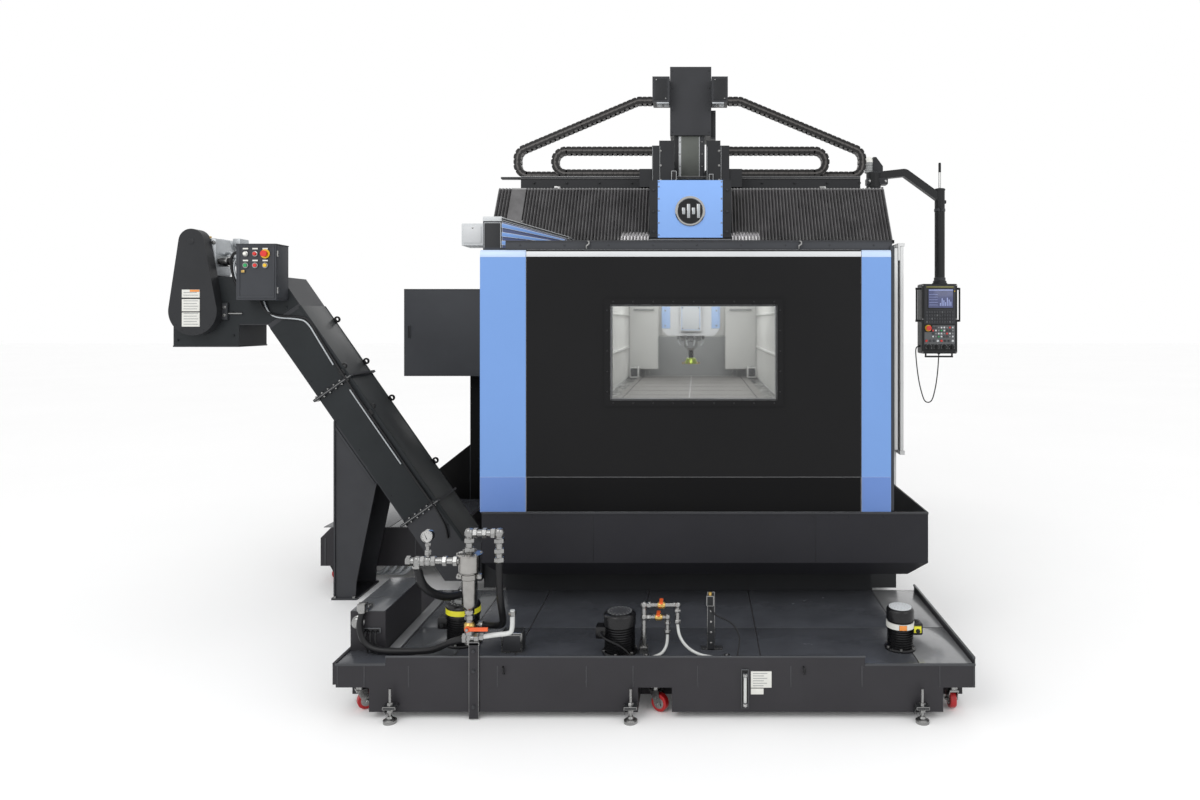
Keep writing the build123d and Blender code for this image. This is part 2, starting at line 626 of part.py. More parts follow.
def saddle():
    """Carriage that hooks over the front beam, passes above the chain shelf and guides the ram."""
    left, right = SADDLE_X
    front = SADDLE_FRONT_Y
    low, high = BRIDGE_Z[0], SADDLE_SLAB_TOP_Z
    back = BELLOWS_Y + BELLOWS_DEPTH
    lean = BRIDGE_LEAN * (high - low) / (BRIDGE_Z[1] - BRIDGE_Z[0])
    outline = [(front, low), (back, low), (back + lean, high), (front, high)]
    solid = side_profile(outline, SADDLE_X)
    post_y = (1885, 2040)
    arm_y = (post_y[1], 2564)
    solid += block(SADDLE_X, post_y, (high, 2760))
    for side_x, post_x in (((left, -259), (-259, -157)), ((161, right), (65, 161))):
        solid += block(side_x, post_y, (high, 2997)) + block(post_x, post_y, (high, 3031))
    for arm_x in ((left, -215), (150, right)):
        solid += block(arm_x, arm_y, (2900, 2997))
    for bracket_x in ((-395, left), (right, 309)):
        solid += block(bracket_x, (1900, post_y[1]), (2715, 2840))
    for rib_x in ((left, -255), (168, right)):
        solid += block(rib_x, (front - 14, front), (2333, high))
    guide = block(SADDLE_X, (FRONT_BEAM_BACK_Y + 4, REAR_BEAM_Y[0] - 4), (2330, 2900))
    guide -= block((-178, 67), (FRONT_BEAM_BACK_Y, RAM_Y[0]), (2760, 2900))
    bore_x = (RAM_X[0] - 1, RAM_X[1] + 1)
    guide -= block(bore_x, (RAM_Y[0] - 1, RAM_Y[1] + 1), (2330, 2900))
    return solid + guide


def saddle_cover():
    return block((-253, 166), (SADDLE_FRONT_Y - 12, SADDLE_FRONT_Y), (2333, SADDLE_SLAB_TOP_Z))


def ram():
    return block(RAM_X, RAM_Y, RAM_Z)


def ram_cover():
    """Hood over the ram's drive, with a chain box on each side."""
    low, high = RAM_Z[1], RAM_TOP_Z
    hood = block((-197, 105), (2262, 2560), (low, high))
    hood += block((105, 138), (2290, 2500), (low - 20, 3344))
    for box_x in CHAIN_BOX_X:
        hood += block(box_x, (2146, 2300), CHAIN_BOX_Z)
    return hood


def spindle_head():
    """Covers around the ram's lower end, the front box and the spindle's flange and nose."""
    left, right = HEAD_X
    low, high = HEAD_Z
    outline = [(left, low + 45), (left + 45, low), (right - 45, low), (right, low + 45)]
    outline += [(right, high), (left, high)]
    head = front_profile(outline, (2255, 2545))
    head -= block(RAM_X, RAM_Y, (RAM_Z[0], high))
    head += block((-121, 32), (2205, 2255), (1720, 1910))
    head += rod_z(SPINDLE_X, SPINDLE_Y, (FLANGE_LOW_Z, low), 75)
    return head + rod_z(SPINDLE_X, SPINDLE_Y, (NOSE_LOW_Z, FLANGE_LOW_Z), 45)


def milling_tool():
    """Tool holder and face mill, which turn with the spindle."""
    tip, mill_top, shank_top, holder_top = TOOL_Z
    holder = rod_z(SPINDLE_X, SPINDLE_Y, (shank_top, holder_top), 32)
    holder += rod_z(SPINDLE_X, SPINDLE_Y, (mill_top, shank_top), 18)
    return holder + rod_z(SPINDLE_X, SPINDLE_Y, (tip, mill_top), 49)


# Chip conveyor

def conveyor_casing():
    """Inclined casing with its foot, two bolted collars and the leg below it."""
    outline = [(-2762, 1768), (-1623, 120), (-1388, 120), (-1388, 369), (-1487, 369)]
    outline.append((-2558, 1903))
    casing = front_profile(outline, CONVEYOR_Y)
    for x, z in COLLARS:
        casing += Pos(x, 1717, z) * Rot(0, CONVEYOR_TILT, 0) * Box(*COLLAR_SIZE)
    leg = [(-2337, 1160), (-2060, 760), (-2195, 107), (-2200, 12), (-2337, 12)]
    near, far = CONVEYOR_Y
    casing += front_profile(leg, (near, near + 10)) + front_profile(leg, (far - 10, far))
    casing += block((-2337, -2325), CONVEYOR_Y, (12, 1130))
    return casing + block((-2350, -2185), (near - 12, far + 12), (0, 12))


def conveyor_head():
    """Upper end of the casing with a discharge hood that is open below."""
    outline = [(-2762, 1768), (-2558, 1903), (-2680, 2079), (-3230, 2079), (-3370, 1960)]
    outline += [(-3370, 1630), (-2950, 1630), (-2950, 1768)]
    head = front_profile(outline, CONVEYOR_Y)
    hood_y = (CONVEYOR_Y[0] + 8, CONVEYOR_Y[1] - 8)
    return head - block((-3360, -2960), hood_y, (1630, 1950))


def gear_motor():
    x, z = MOTOR_AXIS
    gearbox = block(GEARBOX_X, (1552, 1740), GEARBOX_Z)
    motor = rod_y(x, (1740, 2010), z, MOTOR_RADIUS)
    return gearbox + motor + rod_y(x, (2010, 2060), z, MOTOR_RADIUS + 4)


def chain_guard():
    """Teardrop guard around the two sprockets of the drive."""
    edges = ShapeList()
    for x, z, radius in CHAIN_SPROCKETS:
        edges += (Pos(x, z) * Circle(radius)).edges()
    outline = Plane.XZ.offset(-GUARD_Y[1]) * make_hull(edges)
    return extrude(outline, amount=GUARD_Y[1] - GUARD_Y[0])


def control_box():
    """Switch box with two lamps, bezels and sockets for its push buttons."""
    front = BOX_FRONT_Y
    box = block(BOX_X, (front, CONVEYOR_Y[0]), BOX_Z)
    socket = (front - 7, front + SOCKET_DEPTH)
    for x in BUTTON_X.values():
        box += rod_y(x, (front - 6, front), BUTTON_Z, 16)
        box -= rod_y(x, socket, BUTTON_Z, BUTTON_RADIUS + SOCKET_CLEARANCE)
    for x in LAMP_X:
        box += rod_y(x, (front - 6, front), LAMP_Z, 16) + rod_y(x, (front - 14, front), LAMP_Z, 11)
    box += rod_y(STOP_X, (front - 6, front), LAMP_Z, 28)
    return box - rod_y(STOP_X, socket, LAMP_Z, 9 + SOCKET_CLEARANCE)


def push_button(x):
    return rod_y(x, (BOX_FRONT_Y - 13, BOX_FRONT_Y), BUTTON_Z, BUTTON_RADIUS)


def stop_button(x, z, front):
    """Mushroom head on a stem."""
    return rod_y(x, (front - 28, front - 14), z, 20) + rod_y(x, (front - 14, front), z, 9)


# Pendant

def pendant_arm():
    """Cranked arm with its hub, the hanging tube and a slim signal lamp on top."""
    x, y = ARM_PIVOT
    tube_x = TUBE_AXIS[0]
    arm = rod_z(x, y, (2872, 2990), 58)
    arm += ribbon([(x, 2966), ARM_BEND, (tube_x, 2786)], 60, (y - 30, y + 30), 36)
    arm += rod_z(tube_x, y, TUBE_Z, 40)
    return arm + rod_z(tube_x, y, (TUBE_Z[1], 3075), 9)


def pendant():
    """Operator panel with a collar, side and bottom handles and sockets for its controls."""
    body = fillet(block(PENDANT_X, PENDANT_Y, PENDANT_Z).edges().filter_by(Axis.Y), 14)
    body += rod_z(*TUBE_AXIS, (PENDANT_Z[1], 2115), 52)
    grip_y = PENDANT_Y[0] + 40
    for side_x, outward in ((PENDANT_X[0], -30), (PENDANT_X[1], 31)):
        grip_x = side_x + outward
        body += rod_z(grip_x, grip_y, (1790, 2062), GRIP_RADIUS)
        for z in (1797, 2055):
            body += rod_x(sorted((side_x, grip_x)), grip_y, z, GRIP_RADIUS)
    body += rod_x((1840, 2066), grip_y, LOW_GRIP_Z, GRIP_RADIUS)
    for x in (1847, 2059):
        body += rod_z(x, grip_y, (LOW_GRIP_Z, PENDANT_Z[0]), GRIP_RADIUS)
    socket = (PENDANT_Y[0], PENDANT_Y[0] + SOCKET_DEPTH)
    stop_x, stop_z = PENDANT_STOP
    return body - rod_y(stop_x, socket, stop_z, 9 + SOCKET_CLEARANCE)


def pendant_knob(x):
    """Rotary switch with a raised grip bar."""
    front = PENDANT_Y[0]
    knob = rod_y(x, (front - 10, front - 0.3), KNOB_Z, 17)
    return knob + block((x - 4, x + 4), (front - 20, front - 10), (KNOB_Z - 15, KNOB_Z + 15))


# Hoses and cables

def bend_radii(points):
    """The arc radius at each inner point, from the shorter run beside it and the turn there."""
    radii = []
    for before, here, after in zip(points, points[1:], points[2:]):
        first = Vector(*here) - Vector(*before)
        second = Vector(*after) - Vector(*here)
        half_turn = radians(first.get_angle(second)) / 2
        radii.append(CORD_BEND_SHARE * min(first.length, second.length) / tan(half_turn))
    return radii


def cord(radius, points):
    """A round tube along straight runs and tangent arcs."""
    route = FilletPolyline(*points, radius=bend_radii(points))
    start = Plane(origin=points[0], z_dir=Vector(*points[1]) - Vector(*points[0]))
    return sweep(start * Circle(radius), path=route)


def write_parts(nodes):
    """Moves every node to the machine's own origin and writes it."""
    rigid = [solid for name, solid in nodes.items() if name not in CORDS]
    boxes = [solid.bounding_box() for solid in rigid]
    middle_x = (min(box.min.X for box in boxes) + max(box.max.X for box in boxes)) / 2
    middle_y = (min(box.min.Y for box in boxes) + max(box.max.Y for box in boxes)) / 2
    print(f"origin at {middle_x:.3f} {middle_y:.3f}")
    for name, solid in nodes.items():
        export_step(Pos(-middle_x, -middle_y, 0) * solid, f"parts/{name}.step")


NODES = {
    "coolant_tank": coolant_tank(),
    "leveling_feet": leveling_feet(),
    "machine_bed": machine_bed(),
    "side_walls": side_walls(),
    "drip_pan": drip_pan(),
    "front_panel": front_panel(),
    "window_glass": window_glass(),
    "front_pillars": front_pillars(),
    "work_table": work_table(),
    "rear_bulkhead": rear_bulkhead(),
    "body_covers": body_covers(),
    "side_door": side_door(),
    "gantry_beam": gantry_beam(),
    "bridge_bellows": bridge_bellows(),
    "cable_chains": cable_chains(),
    "saddle": saddle(),
    "saddle_cover": saddle_cover(),
    "ram": ram(),
    "ram_cover": ram_cover(),
    "spindle_head": spindle_head(),
    "milling_tool": milling_tool(),
    "conveyor_casing": conveyor_casing(),
    "conveyor_head": conveyor_head(),
    "gear_motor": gear_motor(),
    "chain_guard": chain_guard(),
    "control_box": control_box(),
    "conveyor_estop": stop_button(STOP_X, LAMP_Z, BOX_FRONT_Y),
    "left_pump": left_pump(),
    "centre_pump": centre_pump(),
    "right_pump": right_pump(),
    "filter_housing": filter_housing(),
    "coolant_pipework": coolant_pipework(),
    "filter_valve_lever": filter_valve_lever(),
    "upper_branch_lever": branch_lever(UPPER_VALVE_X, UPPER_BRANCH_Z + 21),
    "lower_branch_lever": branch_lever(LOWER_VALVE_X, LOWER_BRANCH_Z + 21),
    "pendant_arm": pendant_arm(),
    "pendant": pendant(),
    "pendant_estop": stop_button(*PENDANT_STOP, PENDANT_Y[0]),
    "rear_caster_wheel": caster_wheel(*REAR_CASTER, 0),
}
for colour, button_x in BUTTON_X.items():
    NODES[f"{colour}_button"] = push_button(button_x)
for number, knob_x in enumerate(KNOB_X, 1):
    NODES[f"pendant_knob_{number}"] = pendant_knob(knob_x)
for place, caster in FRONT_CASTERS.items():
    NODES[f"{place}_caster_fork"] = caster_fork(*caster)
    NODES[f"{place}_caster_wheel"] = caster_wheel(*caster)
for cord_name, (cord_radius, route_points) in CORDS.items():
    NODES[cord_name] = cord(cord_radius, route_points)

write_parts(NODES)
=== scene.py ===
import bmesh
import bpy
from math import cos, pi, radians, sin, tan
import random
from mathutils import Matrix, Vector


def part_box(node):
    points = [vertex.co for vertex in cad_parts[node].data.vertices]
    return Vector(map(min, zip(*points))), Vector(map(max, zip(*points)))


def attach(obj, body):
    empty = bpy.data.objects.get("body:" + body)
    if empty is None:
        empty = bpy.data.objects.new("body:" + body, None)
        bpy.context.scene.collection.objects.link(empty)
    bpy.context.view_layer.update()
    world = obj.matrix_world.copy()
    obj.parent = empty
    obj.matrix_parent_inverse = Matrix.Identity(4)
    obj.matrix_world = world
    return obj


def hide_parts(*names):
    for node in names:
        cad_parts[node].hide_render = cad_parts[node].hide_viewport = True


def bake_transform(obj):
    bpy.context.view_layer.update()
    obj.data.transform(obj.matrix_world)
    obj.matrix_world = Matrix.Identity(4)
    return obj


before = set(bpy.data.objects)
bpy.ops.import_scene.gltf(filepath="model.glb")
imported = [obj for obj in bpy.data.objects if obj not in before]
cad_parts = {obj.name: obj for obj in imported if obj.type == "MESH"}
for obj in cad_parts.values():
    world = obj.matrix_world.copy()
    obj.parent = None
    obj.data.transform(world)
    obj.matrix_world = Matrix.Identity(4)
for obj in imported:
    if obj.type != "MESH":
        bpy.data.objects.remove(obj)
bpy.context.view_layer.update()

# Positions are given in the machine's own millimetres: X right, Y back from the tank's front
# face, Z up from the floor. at() turns them into the frame's metres.
MM = 0.001
TANK_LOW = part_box("coolant_tank")[0]
ORIGIN = Vector((TANK_LOW.x + 2590 * MM, TANK_LOW.y, 0))
LEFT, RIGHT, TOWARD = (-1, 0, 0), (1, 0, 0), (0, -1, 0)
BACK, UP, DOWN = (0, 1, 0), (0, 0, 1), (0, 0, -1)
random.seed(7)


def at(x, y, z):
    return Vector((ORIGIN.x + x * MM, ORIGIN.y + y * MM, z * MM))


# ---- materials

def shade(colour, factor):
    """A lighter or darker linear colour, from 0 to 255 display values."""
    def linear(value):
        value /= 255
        return value / 12.92 if value <= 0.04045 else ((value + 0.055) / 1.055) ** 2.4
    return (*[min(1, linear(channel) * factor) for channel in colour], 1)


def settings(node, **values):
    """Sets a node's inputs by their names, with _ for a space."""
    for key, value in values.items():
        node.inputs[key.replace("_", " ")].default_value = value


def material(name, colour, roughness=0.5, metallic=0.0, vary=0.12, patch=0.35, grain=0.0015,
             bump=0.1, specular=0.5, coat=0.0, streak=None, wear=0.1):
    """A surface with patchy tone and roughness over `patch` metres and a fine grain bump.

    streak stretches the grain along one axis, as brushing or rolling does."""
    m = bpy.data.materials.new(name)
    m.use_nodes = True
    links = m.node_tree.links.new

    def node(kind, **values):
        made = m.node_tree.nodes.new(f"ShaderNode{kind}")
        settings(made, **values)
        return made

    shader = m.node_tree.nodes["Principled BSDF"]
    settings(shader, Metallic=metallic, Specular_IOR_Level=specular, Coat_Weight=coat)
    place = node("TexCoord").outputs["Object"]
    patches = node("TexNoise", Scale=1 / patch, Detail=6, Roughness=0.6)
    links(place, patches.inputs["Vector"])
    tone = node("MapRange", From_Min=0.3, From_Max=0.7)
    links(patches.outputs["Fac"], tone.inputs["Value"])
    mix = node("Mix")
    mix.data_type = "RGBA"
    mix.inputs[6].default_value = shade(colour, 1 - vary)
    mix.inputs[7].default_value = shade(colour, 1 + vary)
    links(tone.outputs["Result"], mix.inputs[0])
    links(mix.outputs[2], shader.inputs["Base Color"])
    rough = node("MapRange", To_Min=max(0.02, roughness - wear), To_Max=min(1, roughness + wear))
    links(patches.outputs["Fac"], rough.inputs["Value"])
    links(rough.outputs["Result"], shader.inputs["Roughness"])
    if streak:
        stretch = node("Mapping", Scale=streak)
        links(place, stretch.inputs["Vector"])
        place = stretch.outputs["Vector"]
    fine = node("TexNoise", Scale=1 / grain, Detail=2)
    links(place, fine.inputs["Vector"])
    relief = node("Bump", Strength=bump, Distance=0.001)
    links(fine.outputs["Fac"], relief.inputs["Height"])
    links(relief.outputs["Normal"], shader.inputs["Normal"])
    return m


def changed(m, **values):
    """The material with some of its shader's plain settings changed."""
    settings(m.node_tree.nodes["Principled BSDF"], **values)
    return m


def glowing(m, colour, strength):
    return changed(m, Emission_Color=colour, Emission_Strength=strength)


TANK = material("tank_paint", (50, 49, 52), 0.42, specular=0.2, patch=0.5)
DECK = material("deck_paint", (68, 70, 75), 0.24, specular=0.4, patch=0.25, vary=0.2)
PANEL = material("panel_paint", (26, 26, 27), 0.4, specular=0.1, patch=0.9, vary=0.08)
PAN = material("pan_paint", (42, 42, 46), 0.4, specular=0.14, patch=0.6)
COVER = material("cover_paint", (47, 48, 50), 0.42, specular=0.16, patch=0.4, bump=0.2)
CASING = material("casing_paint", (57, 58, 61), 0.4, specular=0.2, patch=0.3, bump=0.25)
CABINET = material("cabinet_paint", (62, 64, 68), 0.5, specular=0.2, patch=0.5)
BLUE = material("blue_paint", (112, 150, 208), 0.36, specular=0.3, vary=0.03, patch=0.8)
COVER_BLUE = material("cover_blue", (142, 184, 248), 0.4, specular=0.3, vary=0.03, patch=0.8)
# Darker copy of the blue cover's paint: painted shade between its ribs.
BLUE_COVER_PAINTED_SHADE = material("blue_cover_painted_shade", (50, 66, 110), 0.4, vary=0.1)
WHITE = material("white_paint", (212, 213, 213), 0.45, vary=0.03, patch=0.6)
GREY = material("grey_paint", (150, 152, 152), 0.5, vary=0.06, patch=0.4)
PALE_GREY = material("pale_grey_paint", (200, 203, 205), 0.4, vary=0.04)
CAST = material("ram_casting", (88, 92, 87), 0.5, vary=0.12, patch=0.2, bump=0.3)
STEEL = material("zinc_steel", (150, 150, 149), 0.27, 0.95, vary=0.1, patch=0.05, bump=0.06)
GROUND = material("ground_steel", (136, 133, 130), 0.42, 0.35, vary=0.08, patch=0.2,
                  bump=0.12, streak=(1, 0.05, 1))
STAINLESS = material("stainless", (158, 156, 153), 0.2, 1.0, vary=0.16, patch=0.06,
                     bump=0.08, grain=0.002, streak=(1, 1, 0.04))
CHROME = material("bright_plate", (176, 176, 175), 0.14, 1.0, vary=0.03, patch=0.05, bump=0.02)
BRASS = material("brass", (196, 164, 96), 0.28, 0.95, vary=0.1, patch=0.03)
ALLOY = material("cast_alloy", (176, 180, 183), 0.4, 0.6, vary=0.08, patch=0.08, bump=0.4)
BLACK_METAL = material("motor_black", (20, 20, 22), 0.26, specular=0.35, patch=0.1, bump=0.2)
BLACK_PLASTIC = material("black_plastic", (32, 33, 34), 0.42, specular=0.22, patch=0.08, bump=0.3)
BELLOWS = material("bellows_fabric", (95, 94, 95), 0.34, specular=0.45, patch=0.12, vary=0.25,
                   grain=0.0009, bump=0.3)
CHAIN = material("chain_plastic", (30, 29, 29), 0.42, specular=0.25, patch=0.05, vary=0.2, bump=0.3)
RUBBER = material("hose_rubber", (24, 24, 26), 0.4, specular=0.3, patch=0.05, vary=0.2, bump=0.25)
CLEAR_HOSE = material("clear_hose", (196, 198, 196), 0.25, patch=0.04, vary=0.08, coat=0.3)
RED_TREAD = material("wheel_red", (168, 24, 28), 0.38, patch=0.03, vary=0.12, bump=0.2)
RED = material("red_plastic", (206, 34, 24), 0.3, patch=0.02, vary=0.05, coat=0.3)
GREEN = material("green_plastic", (22, 150, 82), 0.3, patch=0.02, vary=0.05, coat=0.3)
YELLOW = material("yellow_plastic", (228, 184, 30), 0.35, patch=0.02, vary=0.05, coat=0.2)
ORANGE = material("orange_plastic", (222, 92, 36), 0.38, patch=0.02, vary=0.08, coat=0.2)
LAMP_WHITE = material("lamp_white", (232, 232, 226), 0.25, vary=0.03, patch=0.02, coat=0.4)
PAPER = material("label_plate", (214, 214, 208), 0.45, vary=0.04, patch=0.05, bump=0.05)
PANE = changed(material("window_pane", (247, 249, 249), 0.02, vary=0.02, patch=0.3,
                        bump=0.01, wear=0.01), Transmission_Weight=1, IOR=1.45)

NODE_SURFACES = [
    (TANK, "coolant_tank"),
    (STEEL, "leveling_feet milling_tool coolant_pipework left_caster_fork centre_caster_fork "
            "right_caster_fork"),
    (COVER, "machine_bed gantry_beam saddle chain_guard"),
    (WHITE, "side_walls side_door spindle_head"),
    (PAN, "drip_pan"),
    (PANEL, "front_panel"),
    (PANE, "window_glass"),
    (BLUE, "front_pillars"),
    (GROUND, "work_table"),
    (GREY, "rear_bulkhead"),
    (CABINET, "body_covers control_box"),
    (BELLOWS, "bridge_bellows"),
    (CHAIN, "cable_chains"),
    (COVER_BLUE, "saddle_cover"),
    (CAST, "ram"),
    (CASING, "ram_cover conveyor_casing conveyor_head"),
    (ALLOY, "gear_motor"),
    (BLACK_METAL, "left_pump centre_pump right_pump"),
    (STAINLESS, "filter_housing"),
    (BLACK_PLASTIC, "pendant_arm pendant pendant_knob_1 pendant_knob_2 pendant_knob_3 "
                    "pendant_knob_4"),
    (ORANGE, "filter_valve_lever upper_branch_lever lower_branch_lever"),
    (RED, "pendant_estop conveyor_estop red_button"),
    (GREEN, "green_button"),
    (YELLOW, "yellow_button"),
    (RED_TREAD, "left_caster_wheel centre_caster_wheel right_caster_wheel rear_caster_wheel"),
]
for surface, names in NODE_SURFACES:
    for node_name in names.split():
        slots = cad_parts[node_name].data.materials
        slots.clear()
        slots.append(surface)


# ---- mesh building

class Piece:
    """Collects bevelled solids in machine millimetres and makes one object of them.

    Its body is the one that it rides on, or None where it is attached to no body."""

    def __init__(self, name, body="machine"):
        self.name, self.body = name, body
        self.mesh = bmesh.new()
        self.surfaces = []

    def _paint(self, faces, surface):
        if surface not in self.surfaces:
            self.surfaces.append(surface)
        for face in faces:
            face.material_index = self.surfaces.index(surface)

    def _loft(self, rings, surface, closed=True):
        """Skins rings of points, in metres, and caps both ends or joins last to first."""
        made = []
        rows = [[self.mesh.verts.new(p) for p in ring] for ring in rings]
        if not closed:
            rows.append(rows[0])
        count = len(rows[0])
        for low, high in zip(rows, rows[1:]):
            for i in range(count):
                j = (i + 1) % count
                made.append(self.mesh.faces.new((low[i], low[j], high[j], high[i])))
        if closed:
            made.append(self.mesh.faces.new(list(reversed(rows[0]))))
            made.append(self.mesh.faces.new(rows[-1]))
        self._paint(made, surface)
        return made

    def prism(self, outline, span, surface, plane="xz", bevel=2.0):
        """An outline in one plane, run between two limits of the third axis."""
        place = {"xz": lambda a, b, c: at(a, c, b), "yz": lambda a, b, c: at(c, a, b),
                 "xy": lambda a, b, c: at(a, b, c)}[plane]
        before = set(self.mesh.verts)
        self._loft([[place(a, b, c) for a, b in outline] for c in span], surface)
        fresh = [v for v in self.mesh.verts if v not in before]
        faces = {f for v in fresh for f in v.link_faces}
        bmesh.ops.recalc_face_normals(self.mesh, faces=list(faces))
        if bevel:
            edges = {e for v in fresh for e in v.link_edges}
            sharp = [e for e in edges if len(e.link_faces) == 2
                     and e.calc_face_angle(0) > radians(25)]
            bmesh.ops.bevel(self.mesh, geom=sharp, offset=bevel * MM, segments=2,
                            profile=0.6, affect="EDGES", clamp_overlap=True)

    def box(self, x, y, z, surface, bevel=2.0):
        corners = [(x[0], z[0]), (x[1], z[0]), (x[1], z[1]), (x[0], z[1])]
        self.prism(corners, y, surface, bevel=bevel)

    def boxes(self, *rows):
        """Boxes given as rows of x, y, z, surface and bevel."""
        for row in rows:
            self.box(*row)

    def turned(self, base, axis, profile, surface, sides=32, spin=0.0, solid=True):
        """A solid of revolution: profile holds (radius, distance along the axis)."""
        start = at(*base)
        along = Vector(axis).normalized()
        across = along.orthogonal().normalized()
        other = along.cross(across)
        rings = []
        for radius, distance in profile:
            centre = start + along * distance * MM
            ring = []
            for i in range(sides):
                turn = 2 * pi * (i + spin) / sides
                arm = across * cos(turn) + other * sin(turn)
                ring.append(centre + arm * max(radius, 0.01) * MM)
            rings.append(ring)
        self._loft(rings, surface, solid)

    def ring(self, base, axis, inner, outer, thickness, surface):
        """A washer or eye with softened outer rims."""
        edge = 0.2 * thickness
        profile = [(inner, 0), (outer - edge, 0), (outer, edge), (outer, thickness - edge),
                   (outer - edge, thickness), (inner, thickness)]
        self.turned(base, axis, profile, surface, 36, solid=False)

    def rod(self, base, axis, length, radius, surface, sides=28, edge=1.5):
        """A cylinder with rounded rims."""
        edge = min(edge, radius * 0.4, length * 0.3)
        profile = [(radius - edge, 0), (radius, edge), (radius, length - edge),
                   (radius - edge, length)]
        self.turned(base, axis, profile, surface, sides)

    def bolt(self, base, axis, size, surface=None, height=0.6):
        """Hexagon head on a washer; size is the distance across the flats."""
        surface = surface or STEEL
        washer = 0.12 * size
        self.turned(base, axis, [(0.68 * size, 0), (0.68 * size, washer)], surface, 20)
        top = washer + height * size
        profile = [(0.577 * size, washer), (0.577 * size, top - 0.1 * size), (0.47 * size, top)]
        self.turned(base, axis, profile, surface, 6, random.random())

    def screw(self, base, axis, radius, surface=None):
        """Low round screw head."""
        profile = [(radius, 0), (radius, radius * 0.25), (radius * 0.7, radius * 0.55),
                   (radius * 0.1, radius * 0.6)]
        self.turned(base, axis, profile, surface or STEEL, 14)

    def bolts(self, xs, y, zs, size, surface=None):
        """Bolts that face the front, at every x and z."""
        for x in xs:
            for z in zs:
                self.bolt((x, y, z), TOWARD, size, surface)

    def screws(self, xs, y, zs, radius, surface=None):
        """Screws that face the front, at every x and z."""
        for x in xs:
            for z in zs:
                self.screw((x, y, z), TOWARD, radius, surface)

    def tube(self, points, radius, surface, sides=14):
        """A round bar through points, its corners cut twice."""
        line = [at(*p) for p in points]
        for _ in range(2):
            cut = [line[0]]
            for a, b in zip(line, line[1:]):
                cut += [a.lerp(b, 0.25), a.lerp(b, 0.75)]
            line = cut + [line[-1]]
        rings = []
        normal = (line[1] - line[0]).orthogonal().normalized()
        for i, p in enumerate(line):
            along = (line[min(i + 1, len(line) - 1)] - line[max(i - 1, 0)]).normalized()
            normal = (normal - along * normal.dot(along)).normalized()
            other = along.cross(normal)
            rings.append([p + (normal * cos(2 * pi * k / sides)
                               + other * sin(2 * pi * k / sides)) * radius * MM
                          for k in range(sides)])
        self._loft(rings, surface)

    def turn(self, angle, centre, since):
        """Turns what was added after the first `since` vertices about an upright axis."""
        bmesh.ops.rotate(self.mesh, verts=list(self.mesh.verts)[since:], cent=at(*centre),
                         matrix=Matrix.Rotation(radians(angle), 3, "Z"))

    def make(self, *replaced, angle=38):
        """The object, on its body, standing for any replaced CAD nodes."""
        bmesh.ops.recalc_face_normals(self.mesh, faces=self.mesh.faces)
        data = bpy.data.meshes.new(self.name)
        self.mesh.to_mesh(data)
        self.mesh.free()
        for surface in self.surfaces:
            data.materials.append(surface)
        data.shade_smooth()
        data.set_sharp_from_angle(angle=radians(angle))
        made = bpy.data.objects.new(self.name, data)
        bpy.context.scene.collection.objects.link(made)
        if self.body:
            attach(made, self.body)
        if replaced:
            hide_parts(*replaced)
        return made


def around(x, y, radius, count, start=0.0, step=None):
    """Points on a circle, from a start angle and with a step in degrees."""
    turns = [radians(start + i * (step or 360 / count)) for i in range(count)]
    return [(x + radius * cos(turn), y + radius * sin(turn)) for turn in turns]


# ---- free hoses and cables

def route(name, points, radius, surface, body):
    """A cord along one NURBS curve whose control points are the CAD route's points."""
    data = bpy.data.curves.new(name, "CURVE")
    data.dimensions = "3D"
    spline = data.splines.new("NURBS")
    spline.points.add(len(points) - 1)
    for control, point in zip(spline.points, points):
        control.co = (*at(*point), 1)
    spline.order_u = 3
    spline.use_endpoint_u = True
    data.resolution_u = 12
    data.bevel_depth = radius * MM
    data.bevel_resolution = 5
    data.use_fill_caps = True
    data.materials.append(surface)
    made = bpy.data.objects.new(name, data)
    bpy.context.scene.collection.objects.link(made)
    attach(made, body)
    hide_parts(name.replace("_line", ""))


